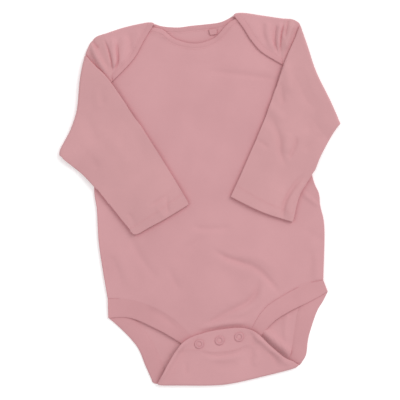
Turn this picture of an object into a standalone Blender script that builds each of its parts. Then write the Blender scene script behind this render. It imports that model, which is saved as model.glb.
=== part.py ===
# A baby's bodysuit: knitted cotton with long sleeves and lap shoulders, lying flat on its back.
# The sleeves are folded in over the front, and the crotch flap is folded up and snapped.
# Sizes are in millimetres: +X is to the right of the front, +Y towards the neck, +Z up from the floor.

import bpy
import numpy as np

MM = 0.001

# Driving sizes of the cloth and of the layers that lie on each other
WALL = 1.2
GAP = 0.3
LAYER = WALL + GAP
FLOOR_LAYER = WALL / 2
FRONT_LAYER = FLOOR_LAYER + LAYER
TOP_LAYER = FRONT_LAYER + LAYER
BINDING_RAISE = 0.3
FRONT_LOFT = 3.0
LOFT_RAMP = 70.0

# Where the body's edges lie, for the loft of the front
BODY_LEFT = -112.0
BODY_RIGHT = 115.0
BODY_TOP = 190.0
BODY_BOTTOM = -160.0

# The fold radius of the laps and the flap, and how far that fold lies inside the outline
TURN_RADIUS = LAYER
TURN_INSET = TURN_RADIUS + WALL / 2
FRONT_IN_TURN = 1.0

# The sleeve tube: half its inner spacing, its loft, and the height that it is folded up through
SLEEVE_HALF = 0.9
SLEEVE_LOFT = 0.9
SLEEVE_RISE = 3.7
SLEEVE_DROP_START = 3.0
SLEEVE_DROP_RUN = 18.0

# Over how many cells the sleeve narrows beside the lap's fold, and how much of its loft is spent at the cuff
NARROWING_CELLS = 2
LOFT_SHARE = 0.9

# How much the folded sleeve is lifted where it crosses the lap's tip, and how far from the tip that ends
LAP_LIFT = 1.9
LAP_LIFT_REACH = 40.0

# How many cells each stretch of cloth has
LAP_COLUMNS = 6
NECK_COLUMNS = 10
LAP_ROWS = 5
LOWER_ARMHOLE_ROWS = 4
TURN_CELLS = 5
FRONT_SIDE_ROWS = 16
BACK_SIDE_ROWS = 10
FLAP_ROWS = 7
BAND_COLUMNS = 2
UPPER_SLEEVE_CELLS = 3
LOWER_SLEEVE_CELLS = 12
EDGE_CELLS = 4
OUTLINE_CELLS = 60
SPAN_SAMPLES = 24
SHARP_DEGREES = 50

# Ring snaps: the section of the ring, columns part of its width from the hole to the rim, part of its height
SNAP_DIAMETER = 9.5
SNAP_HOLE = 5.0
SNAP_HEIGHT = 1.1
SNAP_SEGMENTS = 28
SNAP_SECTION = [(0.0, 0.0), (0.91, 0.0), (1.0, 0.35), (0.78, 0.85), (0.5, 1.0), (0.13, 0.8)]

# Loop at the back of the neck
TAB_WIDTH = 8.5
TAB_LENGTH = 6.0
TAB_PLACE = (25.9, 174.4)
TAB_CELLS = 3

# Middle of the outline's box, which becomes the origin
MIDDLE = np.array([0.343, -0.392, 0.0])

# The shoulder's folded edge, columns x, y
SHOULDER_LEFT = [(-87.5, 184.0), (-66.0, 188.7), (-36.5, 191.0)]
SHOULDER_RIGHT = [(51.0, 191.0), (76.0, 186.7), (100.5, 180.4)]

# The armhole seam beside the lap, then from the lap's tip to the underarm, columns x, y
ARMHOLE_LEFT = [(-87.5, 181.9), (-84.0, 166.0), (-82.4, 153.0), (-83.1, 143.6)]
ARMHOLE_LEFT_LOW = [(-84.0, 133.5), (-88.0, 115.5), (-96.0, 94.0), (-106.0, 73.0)]
ARMHOLE_RIGHT = [(100.5, 178.3), (96.0, 164.0), (93.8, 151.0), (93.9, 141.5)]
ARMHOLE_RIGHT_LOW = [(94.5, 132.2), (97.0, 116.5), (102.5, 99.5), (110.5, 83.5)]

# The side seams from the underarm to the leg band, columns x, y
SIDE_LEFT = [(-106.0, 73.0), (-114.1, 27.0), (-113.8, 2.0), (-115.4, -30.0), (-114.2, -60.0), (-112.2, -90.5)]
SIDE_RIGHT = [(110.5, 83.5), (112.8, 17.0), (117.8, -4.0), (118.0, -17.0), (119.8, -41.0), (113.0, -94.5)]

# The back neck from the left shoulder to the right, columns edge x, edge y, seam x, seam y
BACK_NECK = [
    (-36.8, 188.9, -43.5, 188.4),
    (-25.5, 184.9, -28.0, 180.4),
    (-8.0, 182.6, -8.5, 177.5),
    (20.0, 182.5, 20.0, 177.4),
    (37.5, 184.6, 39.5, 180.1),
    (51.3, 188.9, 58.5, 187.9),
]

# The front neck, same columns
FRONT_NECK = [
    (-41.5, 187.2, -44.0, 183.0),
    (-26.5, 182.6, -28.8, 178.2),
    (-14.0, 171.3, -17.0, 167.0),
    (6.0, 164.3, 5.5, 159.3),
    (26.0, 168.0, 28.5, 163.6),
    (43.0, 182.0, 46.5, 178.4),
    (54.5, 187.0, 58.5, 183.0),
]

# The laps' bound edges from the neck to the tip at the armhole, same columns
LAP_LEFT = [
    (-36.8, 188.9, -43.5, 188.4),
    (-46.0, 173.5, -50.6, 175.7),
    (-56.5, 158.0, -60.5, 161.1),
    (-68.0, 146.5, -71.2, 150.4),
    (-84.0, 133.7, -83.0, 141.9),
]
LAP_RIGHT = [
    (51.3, 188.9, 58.5, 187.9),
    (57.2, 175.5, 62.0, 177.2),
    (64.2, 161.5, 68.4, 164.3),
    (74.5, 147.3, 77.8, 151.2),
    (94.4, 132.4, 93.8, 139.5),
]
LAP_TIP_WIDTH = 2.3

# The leg bands from the side to the crotch, same columns
LEG_FRONT_LEFT = [
    (-113.7, -110.3, -112.2, -90.5),
    (-91.0, -112.8, -88.0, -94.0),
    (-69.0, -124.5, -64.0, -105.0),
    (-50.0, -137.5, -42.0, -122.5),
    (-30.5, -153.5, -16.0, -156.0),
]
LEG_FRONT_RIGHT = [
    (116.4, -107.0, 113.0, -94.5),
    (99.0, -114.5, 94.0, -97.0),
    (76.0, -122.8, 69.0, -106.5),
    (56.0, -133.0, 46.0, -120.5),
    (35.5, -152.5, 20.5, -156.0),
]
LEG_BACK_LEFT = [
    (-113.7, -110.3, -112.2, -90.5),
    (-105.6, -118.8, -96.0, -103.0),
    (-93.4, -132.5, -79.5, -122.5),
    (-84.4, -146.0, -70.5, -140.0),
    (-80.3, -163.5, -63.5, -160.0),
    (-72.2, -180.5, -56.0, -183.8),
]
LEG_BACK_RIGHT = [
    (116.4, -107.0, 113.0, -94.5),
    (109.0, -115.8, 94.5, -104.0),
    (102.4, -127.5, 84.5, -119.5),
    (91.8, -151.4, 77.0, -146.0),
    (86.4, -171.5, 71.0, -168.0),
    (77.6, -178.8, 63.0, -181.8),
]

# The fold at the bottom of the crotch from left to right, columns x, y of the outline
CROTCH_FOLD = [
    (-73.5, -183.0),
    (-49.0, -187.8),
    (-12.0, -191.6),
    (10.0, -191.4),
    (44.0, -187.2),
    (78.6, -181.2),
]

# The crotch flap's sides from the fold to its snap end, then that end, columns x, y
FLAP_LEFT = [(-72.2, -180.9), (-62.0, -170.5), (-52.0, -157.5), (-42.5, -146.5), (-31.0, -139.3)]
FLAP_RIGHT = [(77.6, -179.3), (63.5, -170.0), (51.0, -156.5), (41.0, -144.5), (28.0, -135.8)]
FLAP_END = [(-31.0, -139.3), (-12.0, -135.2), (12.0, -133.9), (28.0, -135.8)]

# Places of the snaps on the flap, columns name, x, y
SNAPS = [("left", -22.5, -147.0), ("middle", -1.0, -145.5), ("right", 19.5, -144.0)]

# The sleeves seen from above, columns x, y: the middle of the edge over the shoulder, the folded edge,
# the hidden edge under the arm, then both edges and the cuff of the stretch that lies on the front
SLEEVE_LEFT = {
    "over": [(-87.5, 181.9), (-95.5, 179.9), (-101.5, 175.2), (-105.5, 169.5)],
    "fold": [
        (-109.0, 166.5),
        (-117.0, 140.0),
        (-123.3, 109.3),
        (-131.8, 91.0),
        (-142.0, 73.3),
        (-146.8, 64.0),
    ],
    "under": [(-106.0, 73.0), (-146.8, 64.0)],
    "top": [(-107.0, 165.5), (-99.5, 152.0), (-85.5, 134.0), (-54.0, 76.5), (-32.0, 31.0), (-17.5, -1.0)],
    "bottom": [(-146.8, 62.0), (-137.5, 53.3), (-124.5, 40.3), (-111.0, 22.0), (-92.0, -6.0), (-75.5, -27.0)],
    "cuff": [(-17.5, -1.0), (-45.0, -14.5), (-75.5, -27.0)],
    "lap tip": (-84.0, 133.5),
    "side": -111.0,
}
SLEEVE_RIGHT = {
    "over": [(100.5, 178.3), (108.0, 177.3), (113.0, 174.9), (115.5, 172.2)],
    "fold": [(117.6, 171.0), (122.5, 147.5), (128.5, 121.0), (139.5, 91.0), (147.4, 66.5)],
    "under": [(110.5, 83.5), (147.4, 66.5)],
    "top": [(116.8, 170.0), (107.0, 154.5), (94.5, 132.0), (72.5, 85.5), (47.0, 38.0), (26.0, 1.5)],
    "bottom": [
        (147.4, 65.5),
        (142.0, 60.0),
        (134.0, 49.5),
        (122.0, 33.5),
        (112.5, 15.0),
        (98.5, -3.0),
        (87.0, -31.0),
    ],
    "cuff": [(26.0, 1.5), (56.0, -17.0), (87.0, -31.0)],
    "lap tip": (94.5, 132.0),
    "side": 112.5,
}

# Creases pressed into the front, columns start x, y, end x, y, bow, depth, width
CREASES = [
    (8.0, -57.0, 68.0, -106.0, 6.0, 1.9, 6.0),
    (52.0, -90.0, -8.0, -129.0, -3.0, 1.2, 6.5),
    (104.0, -4.0, 124.0, -30.0, 1.0, 1.0, 5.0),
    (-118.0, -18.0, -93.0, -54.0, 3.0, 0.9, 7.0),
    (24.0, 135.0, 92.0, 120.0, 2.0, 0.7, 6.0),
]

# Finishes, columns colour, roughness
FINISHES = {
    "cotton body": ((0.62, 0.34, 0.36), 0.85),
    "cotton sleeve": ((0.60, 0.33, 0.35), 0.85),
    "cotton trim": ((0.58, 0.31, 0.33), 0.85),
    "enamelled snap": ((0.66, 0.38, 0.40), 0.4),
    "cotton tape": ((0.60, 0.33, 0.35), 0.8),
}


def material(name):
    """A plain finish of one colour, from the table."""
    colour, roughness = FINISHES[name]
    finish = bpy.data.materials.new(name)
    finish.use_nodes = True
    shader = finish.node_tree.nodes["Principled BSDF"]
    shader.inputs["Base Color"].default_value = (*colour, 1.0)
    shader.inputs["Roughness"].default_value = roughness
    shader.inputs["Metallic"].default_value = 0.0
    return finish


def smooth(rows, cells):
    """A smooth curve through the rows (Catmull-Rom spans), as cells equal steps along its length."""
    knots = np.asarray(rows, float)
    padded = np.vstack([2 * knots[0] - knots[1], knots, 2 * knots[-1] - knots[-2]])
    t = np.linspace(0, 1, SPAN_SAMPLES, endpoint=False)[:, None]
    spans = []
    for before, start, end, after in zip(padded, padded[1:], padded[2:], padded[3:]):
        bend = 2 * before - 5 * start + 4 * end - after
        twist = 3 * start - before - 3 * end + after
        spans.append(start + 0.5 * t * (end - before) + 0.5 * t**2 * bend + 0.5 * t**3 * twist)
    fine = np.vstack(spans + [knots[-1:]])
    length = np.concatenate([[0], np.cumsum(np.linalg.norm(np.diff(fine[:, :2], axis=0), axis=1))])
    steps = np.linspace(0, length[-1], cells + 1)
    return np.column_stack([np.interp(steps, length, column) for column in fine.T])


def pulled(curve, other, distance):
    """The curve with each point moved a distance towards the matching point of another curve."""
    way = other - curve
    return curve + way / np.linalg.norm(way, axis=1, keepdims=True) * distance


def patch(top, bottom, left, right):
    """A surface between four edge curves (a Coons patch), as rows from top to bottom."""

    def share(curve):
        length = np.concatenate([[0], np.cumsum(np.linalg.norm(np.diff(curve, axis=0), axis=1))])
        return length / length[-1]

    across = ((share(top) + share(bottom)) / 2)[None, :, None]
    down = ((share(left) + share(right)) / 2)[:, None, None]
    between_ends = (1 - down) * top[None] + down * bottom[None]
    between_sides = (1 - across) * left[:, None] + across * right[:, None]
    top_line = (1 - across) * top[0] + across * top[-1]
    bottom_line = (1 - across) * bottom[0] + across * bottom[-1]
    return between_ends + between_sides - (1 - down) * top_line - down * bottom_line


def ramp(share):
    """An even rise from 0 to 1 with soft ends."""
    share = np.clip(share, 0, 1)
    return share * share * (3 - 2 * share)


def creases(x, y):
    """How deep the creases are at each point: a soft trough beside a bowed line, fading at its ends."""
    depth = np.zeros_like(x)
    for start_x, start_y, end_x, end_y, bow, deepest, width in CREASES:
        along = np.array([end_x - start_x, end_y - start_y])
        length = np.hypot(*along)
        share = ((x - start_x) * along[0] + (y - start_y) * along[1]) / length**2
        aside = ((y - start_y) * along[0] - (x - start_x) * along[1]) / length
        aside = aside - 4 * bow * share * (1 - share)
        fade = np.sin(np.pi * np.clip(share, 0, 1)) ** 0.5
        depth += deepest * fade * np.exp(-((aside / width) ** 2))
    return depth


def loft(x, y):
    """How far the front stands off the back: most well inside the body, nothing at its edges."""
    sideways = ramp(np.minimum(x - BODY_LEFT, BODY_RIGHT - x) / LOFT_RAMP)
    lengthways = ramp(np.minimum(BODY_TOP - y, y - BODY_BOTTOM) / LOFT_RAMP)
    return FRONT_LOFT * sideways * lengthways


def front_height(x, y):
    """Middle of the front's wall."""
    return FRONT_LAYER + np.maximum(loft(x, y) - creases(x, y), 0)


def top_height(x, y):
    """Middle of a wall that lies on the front, as the laps and the flap do."""
    return TOP_LAYER + loft(x, y)


def lifted(flat, height):
    """Flat points with their height added, from a number or from a function of x and y."""
    if callable(height):
        height = height(flat[..., 0], flat[..., 1])
    return np.concatenate([flat, np.broadcast_to(height, flat.shape[:-1])[..., None]], axis=-1)


def turn(lower, upper, outward):
    """Rows of a half-round fold from the lower row up to the upper row, bulging outward in the plane."""
    rows = []
    for step in range(TURN_CELLS + 1):
        angle = np.pi * step / TURN_CELLS
        rise = (1 - np.cos(angle)) / 2
        row = lower * (1 - rise) + upper * rise
        row[:, :2] += np.asarray(outward) * TURN_RADIUS * np.sin(angle)
        rows.append(row)
    return np.array(rows)


def quads_of(grids, closed=False):
    """One list of points and one of quads from several grids, whose shared points become one."""
    points, quads, start = [], [], 0
    for grid in grids:
        rows, columns = grid.shape[:2]
        index = np.arange(rows * columns).reshape(rows, columns) + start
        if closed:
            index = np.hstack([index, index[:, :1]])
        corners = [index[:-1, :-1], index[1:, :-1], index[1:, 1:], index[:-1, 1:]]
        quads.append(np.stack(corners, axis=-1).reshape(-1, 4))
        points.append(grid.reshape(-1, 3))
        start += rows * columns
    kept, place = np.unique(np.round(np.vstack(points), 3), axis=0, return_inverse=True)
    return kept, place.reshape(-1)[np.vstack(quads)]


def cloth(name, grids, finish, closed=False, raised=0.0):
    """A closed solid of the cloth's wall on both sides of the grids' points, with rims along open edges."""
    points, quads = quads_of(grids, closed)
    corner = points[quads]
    facing = np.cross(corner[:, 2] - corner[:, 0], corner[:, 3] - corner[:, 1])
    normals = np.zeros_like(points)
    for column in range(4):
        np.add.at(normals, quads[:, column], facing)
    normals /= np.linalg.norm(normals, axis=1, keepdims=True)
    up = np.clip(normals[:, 2:], 0, 1) * raised
    down = np.clip(-normals[:, 2:], 0, 1) * raised
    outer = points + normals * (WALL / 2 + up)
    inner = points - normals * (WALL / 2 + down)
    edges = np.vstack([quads[:, [k, (k + 1) % 4]] for k in range(4)])
    names = np.sort(edges, axis=1)
    _, first, count = np.unique(names, axis=0, return_index=True, return_counts=True)
    open_edges = edges[first[count == 1]]
    size = len(points)
    rims = np.column_stack([open_edges[:, ::-1], open_edges + size])
    faces = np.vstack([quads, quads[:, ::-1] + size, rims])
    solid(name, np.vstack([outer, inner]), faces, finish)


def solid(name, points, faces, finish):
    """An object from points in millimetres and their faces."""
    mesh = bpy.data.meshes.new(name)
    mesh.from_pydata(((np.asarray(points) - MIDDLE) * MM).tolist(), [], np.asarray(faces).tolist())
    mesh.materials.append(finish)
    mesh.validate()
    mesh.shade_smooth()
    mesh.set_sharp_from_angle(angle=np.radians(SHARP_DEGREES))
    bpy.context.scene.collection.objects.link(bpy.data.objects.new(name, mesh))


def edge_and_seam(rows, cells):
    """The two curves of a bound edge or band: its free edge, and the seam that joins it to a panel."""
    curve = smooth(rows, cells)
    return curve[:, :2], curve[:, 2:]


def strip(edge, seam):
    """Rows of a band from its free edge to just short of its seam."""
    inner = pulled(seam, edge, GAP / 2)
    share = np.linspace(0, 1, BAND_COLUMNS + 1)[None, :, None]
    return edge[:, None] * (1 - share) + inner[:, None] * share


def panel_edge(edge, seam):
    """The edge of the panel beside a band, just past their seam."""
    return pulled(seam, edge, -GAP / 2)


def armhole(upper, lower):
    """The whole armhole seam: the lap's rows, the end of its binding, then the rows below."""
    return np.vstack([smooth(upper, LAP_ROWS), smooth(lower, LOWER_ARMHOLE_ROWS)])


def body_side(upper, lower, side, rows, inside):
    """A panel's whole side edge from the shoulder to the leg band, just inside the armhole seam."""
    hole = armhole(upper, lower)
    hole = hole + np.array([inside * GAP / 2, 0])
    return np.vstack([hole, smooth(side, rows)[1:]])


def fold_row(outline, start, end, cells, inset):
    """The base of a fold between two given x: the folded edge's outline moved in by an inset."""
    curve = smooth(outline, OUTLINE_CELLS)
    x = np.linspace(start, end, cells + 1)
    return np.column_stack([x, np.interp(x, curve[:, 0], curve[:, 1]) + inset])


def joined(*curves):
    """Curves end to end as one, each starting where the last one stops."""
    return np.vstack([curves[0]] + [curve[1:] for curve in curves[1:]])


def lap(upper_armhole, edge_rows, base, inside):
    """A lap of the back panel on top of the front: its rows run from the shoulder's fold to its tip."""
    hole = smooth(upper_armhole, LAP_ROWS) + np.array([inside * GAP / 2, 0])
    line = panel_edge(*edge_and_seam(edge_rows, LAP_ROWS))
    last_step = line[-2] - line[-1]
    line[-1] += last_step / np.linalg.norm(last_step) * LAP_TIP_WIDTH
    hole[0], line[0] = base[0], base[-1]
    tip = np.linspace(hole[-1], line[-1], LAP_COLUMNS + 1)
    return patch(base, tip, hole, line)


def make_back(finish):
    """The back panel: flat on the floor, with both laps and the crotch flap folded over onto the front."""
    edge, seam = edge_and_seam(BACK_NECK, NECK_COLUMNS)
    neck = panel_edge(edge, seam)
    left_end, right_end = ARMHOLE_LEFT[0][0] + GAP / 2, ARMHOLE_RIGHT[0][0] - GAP / 2
    left_base = fold_row(SHOULDER_LEFT, left_end, neck[0, 0], LAP_COLUMNS, -TURN_INSET)
    right_base = fold_row(SHOULDER_RIGHT, right_end, neck[-1, 0], LAP_COLUMNS, -TURN_INSET)
    neck[0], neck[-1] = left_base[-1], right_base[-1]
    top = joined(left_base, neck, right_base[::-1])

    leg_left = panel_edge(*edge_and_seam(LEG_BACK_LEFT, LAP_COLUMNS))
    leg_right = panel_edge(*edge_and_seam(LEG_BACK_RIGHT, LAP_COLUMNS))
    fold = fold_row(CROTCH_FOLD, leg_left[-1, 0], leg_right[-1, 0], NECK_COLUMNS, TURN_INSET)
    leg_left[-1], leg_right[-1] = fold[0], fold[-1]
    bottom = joined(leg_left, fold, leg_right[::-1])

    left = body_side(ARMHOLE_LEFT, ARMHOLE_LEFT_LOW, SIDE_LEFT, BACK_SIDE_ROWS, 1)
    right = body_side(ARMHOLE_RIGHT, ARMHOLE_RIGHT_LOW, SIDE_RIGHT, BACK_SIDE_ROWS, -1)
    left[0], left[-1], right[0], right[-1] = top[0], bottom[0], top[-1], bottom[-1]
    main = lifted(patch(top, bottom, left, right), FLOOR_LAYER)

    left_lap = lifted(lap(ARMHOLE_LEFT, LAP_LEFT, left_base, 1), top_height)
    right_lap = lifted(lap(ARMHOLE_RIGHT, LAP_RIGHT, right_base, -1), top_height)
    left_turn = turn(lifted(left_base, FLOOR_LAYER), left_lap[0], (0, 1))
    right_turn = turn(lifted(right_base, FLOOR_LAYER), right_lap[0], (0, 1))

    flap_left, flap_right = smooth(FLAP_LEFT, FLAP_ROWS), smooth(FLAP_RIGHT, FLAP_ROWS)
    left_tip = fold_row(CROTCH_FOLD, flap_left[0, 0], fold[0, 0], BAND_COLUMNS, TURN_INSET)
    right_tip = fold_row(CROTCH_FOLD, fold[-1, 0], flap_right[0, 0], BAND_COLUMNS, TURN_INSET)
    start = joined(left_tip, fold, right_tip)
    end = smooth(FLAP_END, len(start) - 1)
    flap_left[0], flap_right[0] = start[0], start[-1]
    flap = lifted(patch(start, end, flap_left, flap_right), top_height)
    flap_turn = turn(lifted(start, FLOOR_LAYER), flap[0], (0, -1))
    left_grids = [left_turn[::-1], left_lap[::-1]]
    right_grids = [right_turn[::-1, ::-1], right_lap[::-1, ::-1]]
    cloth("back_panel", [main, *left_grids, *right_grids, flap_turn, flap], finish)


def make_front(finish):
    """The front panel, from under the laps to its crotch end under the flap."""
    edge, seam = edge_and_seam(FRONT_NECK, NECK_COLUMNS)
    neck = panel_edge(edge, seam)
    inset = -TURN_INSET - FRONT_IN_TURN
    left_end, right_end = ARMHOLE_LEFT[0][0] + GAP / 2, ARMHOLE_RIGHT[0][0] - GAP / 2
    shoulder_left = fold_row(SHOULDER_LEFT, left_end, neck[0, 0], LAP_COLUMNS, inset)
    shoulder_right = fold_row(SHOULDER_RIGHT, right_end, neck[-1, 0], LAP_COLUMNS, inset)
    shoulder_left[-1], shoulder_right[-1] = neck[0], neck[-1]
    top = joined(shoulder_left, neck, shoulder_right[::-1])
    leg_left = panel_edge(*edge_and_seam(LEG_FRONT_LEFT, LAP_COLUMNS))
    leg_right = panel_edge(*edge_and_seam(LEG_FRONT_RIGHT, LAP_COLUMNS))
    end = np.linspace(leg_left[-1], leg_right[-1], NECK_COLUMNS + 1)
    bottom = joined(leg_left, end, leg_right[::-1])
    left = body_side(ARMHOLE_LEFT, ARMHOLE_LEFT_LOW, SIDE_LEFT, FRONT_SIDE_ROWS, 1)
    right = body_side(ARMHOLE_RIGHT, ARMHOLE_RIGHT_LOW, SIDE_RIGHT, FRONT_SIDE_ROWS, -1)
    left[0], left[-1], right[0], right[-1] = top[0], bottom[0], top[-1], bottom[-1]
    cloth("front_panel", [lifted(patch(top, bottom, left, right), front_height)], finish)


def make_front_trim(finish):
    """The front's neck binding and leg bands."""
    neck = lifted(strip(*edge_and_seam(FRONT_NECK, NECK_COLUMNS)), front_height)
    cloth("neck_binding_front", [neck], finish)
    for side, rows in (("left", LEG_FRONT_LEFT), ("right", LEG_FRONT_RIGHT)):
        band = lifted(strip(*edge_and_seam(rows, LAP_COLUMNS)), front_height)
        cloth(f"leg_band_front_{side}", [band], finish)


def make_back_binding(finish):
    """The binding of the back neck, which goes on over both folds and down the laps' edges."""
    neck = strip(*edge_and_seam(BACK_NECK, NECK_COLUMNS))
    for outline, end in ((SHOULDER_LEFT, 0), (SHOULDER_RIGHT, -1)):
        neck[end] = fold_row(outline, neck[end, 0, 0], neck[end, -1, 0], BAND_COLUMNS, -TURN_INSET)
    back = lifted(neck, FLOOR_LAYER)
    grids = [back]
    for rows, end, order in ((LAP_LEFT, 0, -1), (LAP_RIGHT, -1, 1)):
        over = strip(*edge_and_seam(rows, LAP_ROWS))
        over[0] = neck[end]
        over = lifted(over, top_height)
        fold = turn(back[end], over[0], (0, 1))
        grids += [fold[::order], over[::order]]
    cloth("neck_binding_back", grids, finish, raised=BINDING_RAISE)


def make_back_bands(finish):
    """The back's leg bands, seen from inside through the leg openings, down to the crotch fold."""
    for side, rows in (("left", LEG_BACK_LEFT), ("right", LEG_BACK_RIGHT)):
        band = strip(*edge_and_seam(rows, LAP_COLUMNS))
        start, end = band[-1, 0, 0], band[-1, -1, 0]
        band[-1] = fold_row(CROTCH_FOLD, start, end, BAND_COLUMNS, TURN_INSET + GAP)
        cloth(f"leg_band_back_{side}", [lifted(band, FLOOR_LAYER)], finish)


def sleeve_tube(centre, normal, half):
    """Each station's loop of points: one wall, a half-round edge, the other wall, a half-round edge."""
    walls = [centre + normal * half[..., None], centre - normal * half[..., None]]
    edges = []
    for column, inner, sign in ((-1, -2, 1), (0, 1, -1)):
        outward = centre[:, column] - centre[:, inner]
        outward /= np.linalg.norm(outward, axis=1, keepdims=True)
        reach = half[:, column, None]
        for step in range(1, EDGE_CELLS):
            angle = np.pi * step / EDGE_CELLS
            along = normal[:, column] * np.cos(angle) * sign + outward * np.sin(angle)
            edges.append((centre[:, column] + along * reach)[:, None])
    half_count = len(edges) // 2
    return np.hstack([walls[0], *edges[:half_count], walls[1][:, ::-1], *edges[half_count:]])


def sleeve_plans(shape, seam, flip):
    """The sleeve seen from above: from the armhole to the fold, and from the fold back to the cuff."""
    columns = len(seam) - 1
    reach = SLEEVE_HALF + WALL / 2
    fold = smooth(np.array(shape["fold"]) * flip, columns)
    base = pulled(fold, seam, SLEEVE_RISE / 2 + reach)
    over = smooth(np.array(shape["over"]) * flip, UPPER_SLEEVE_CELLS)
    under = smooth(np.array(shape["under"]) * flip, UPPER_SLEEVE_CELLS)
    over[0], over[-1], under[0], under[-1] = seam[0], base[0], seam[-1], base[-1]
    upper = patch(over, under, seam, base).transpose(1, 0, 2)
    top_line = smooth(np.array(shape["top"]) * flip, LOWER_SLEEVE_CELLS)
    bottom_line = smooth(np.array(shape["bottom"]) * flip, LOWER_SLEEVE_CELLS)
    top = pulled(top_line, bottom_line, reach)
    bottom = pulled(bottom_line, top_line, reach)
    cuff = smooth(np.array(shape["cuff"]) * flip, columns)
    top[0], bottom[0], cuff[0], cuff[-1] = base[0], base[-1], top[-1], bottom[-1]
    lower = patch(top, bottom, base, cuff).transpose(1, 0, 2)
    outward = (fold - base) / np.linalg.norm(fold - base, axis=1, keepdims=True)
    return upper, lower, outward


def lying_height(flat, shape, flip):
    """Middle of the folded sleeve's lower wall: clear of the front, and down to the floor beside the body."""
    x, y = flat[..., 0] * flip[0], flat[..., 1]
    tip_x, tip_y = shape["lap tip"]
    near_tip = ramp(1 - np.hypot(x - tip_x, y - tip_y) / LAP_LIFT_REACH)
    underarm, corner = np.array(shape["under"]) * flip
    line = (corner - underarm) / np.linalg.norm(corner - underarm)
    below = (flat[..., 0] - underarm[0]) * -line[1] + (flat[..., 1] - underarm[1]) * line[0]
    beside = shape["side"] * flip[0] - flat[..., 0]
    outside = np.minimum(below, beside)
    drop = SLEEVE_RISE * ramp((outside - SLEEVE_DROP_START) / SLEEVE_DROP_RUN)
    return FLOOR_LAYER + SLEEVE_RISE + loft(x, y) + LAP_LIFT * near_tip - drop


def make_sleeve(name, shape, seam, mirror, finish):
    """A flat sleeve tube: out from the armhole, round the fold, and back over the front to the cuff."""
    flip = np.array([mirror, 1.0])
    seam = seam * flip - np.array([GAP / 2, 0])
    upper, lower, outward = sleeve_plans(shape, seam, flip)
    up = np.array([0.0, 0.0, 1.0])

    across = np.linspace(0, 1, len(seam))
    beside_lap = 1 - ramp((across * (len(seam) - 1) - LAP_ROWS) / NARROWING_CELLS)
    near_seam = 1 - ramp(np.linspace(0, 1, UPPER_SLEEVE_CELLS + 1))
    upper_half = SLEEVE_HALF + (TURN_RADIUS - SLEEVE_HALF) * near_seam[:, None] * beside_lap
    upper_centre = lifted(upper, FLOOR_LAYER + upper_half)

    down_sleeve = np.linspace(0, 1, LOWER_SLEEVE_CELLS + 1)
    puff = np.sin(np.pi * LOFT_SHARE * down_sleeve)[:, None] * np.sin(np.pi * across)
    lower_half = SLEEVE_HALF + SLEEVE_LOFT * puff
    lower_centre = lifted(lower, lying_height(lower, shape, flip) + lower_half)

    stations = [upper_centre]
    normals = [np.broadcast_to(up, upper_centre.shape)]
    halves = [upper_half]
    out = np.column_stack([outward, np.zeros(len(outward))])
    low, high = upper_centre[-1], lower_centre[0]
    for step in range(1, TURN_CELLS):
        angle = np.pi * step / TURN_CELLS
        rise = (1 - np.cos(angle)) / 2
        stations.append((low + (high - low) * rise + out * SLEEVE_RISE / 2 * np.sin(angle))[None])
        normals.append((up * np.cos(angle) - out * np.sin(angle))[None])
        halves.append(np.full((1, len(seam)), SLEEVE_HALF))
    stations.append(lower_centre)
    normals.append(np.broadcast_to(-up, lower_centre.shape))
    halves.append(lower_half)
    tube = sleeve_tube(np.vstack(stations), np.vstack(normals), np.vstack(halves))
    tube[..., 0] *= mirror
    cloth(name, [tube], finish, closed=True)


def make_snaps(finish):
    """Ring snaps on the flap: a low rounded ring turned about its middle, resting on the cloth."""
    profile = np.array(SNAP_SECTION) * [(SNAP_DIAMETER - SNAP_HOLE) / 2, SNAP_HEIGHT] + [SNAP_HOLE / 2, 0]
    angle = np.linspace(0, 2 * np.pi, SNAP_SEGMENTS, endpoint=False)
    index = np.arange(SNAP_SEGMENTS * len(profile)).reshape(SNAP_SEGMENTS, len(profile))
    ahead = np.roll(index, -1, axis=0)
    beside = np.roll(index, -1, axis=1)
    both = np.roll(ahead, -1, axis=1)
    faces = np.stack([index, ahead, both, beside], axis=-1).reshape(-1, 4)
    for name, x, y in SNAPS:
        ring_x = x + np.cos(angle)[:, None] * profile[:, 0]
        ring_y = y + np.sin(angle)[:, None] * profile[:, 0]
        ring_z = top_height(ring_x, ring_y) + WALL / 2 + GAP + profile[:, 1]
        solid(f"snap_{name}", np.stack([ring_x, ring_y, ring_z], -1).reshape(-1, 3), faces, finish)


def make_neck_tab(finish):
    """The small plain loop on the inside of the back neck."""
    x = TAB_PLACE[0] + np.linspace(-0.5, 0.5, TAB_CELLS + 1)[None, :] * TAB_WIDTH
    y = TAB_PLACE[1] - np.linspace(-0.5, 0.5, TAB_CELLS + 1)[:, None] * TAB_LENGTH
    flat = np.stack(np.broadcast_arrays(x, y), axis=-1)
    cloth("neck_tab", [lifted(flat, FRONT_LAYER)], finish)


def main():
    for old in list(bpy.data.objects):
        bpy.data.objects.remove(old)
    body, sleeve, trim = material("cotton body"), material("cotton sleeve"), material("cotton trim")
    make_back(body)
    make_front(body)
    make_front_trim(trim)
    make_back_binding(trim)
    make_back_bands(trim)
    make_sleeve("sleeve_left", SLEEVE_LEFT, armhole(ARMHOLE_LEFT, ARMHOLE_LEFT_LOW), 1, sleeve)
    make_sleeve("sleeve_right", SLEEVE_RIGHT, armhole(ARMHOLE_RIGHT, ARMHOLE_RIGHT_LOW), -1, sleeve)
    make_snaps(material("enamelled snap"))
    make_neck_tab(material("cotton tape"))


main()
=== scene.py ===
# A baby's bodysuit: knitted cotton with long sleeves and lap shoulders, lying flat on its back.
# The sleeves are folded in over the front, and the crotch flap is folded up and snapped.
# Tables and surfaces are in millimetres, seen from above, as the solids are; meshes are in metres.

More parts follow.
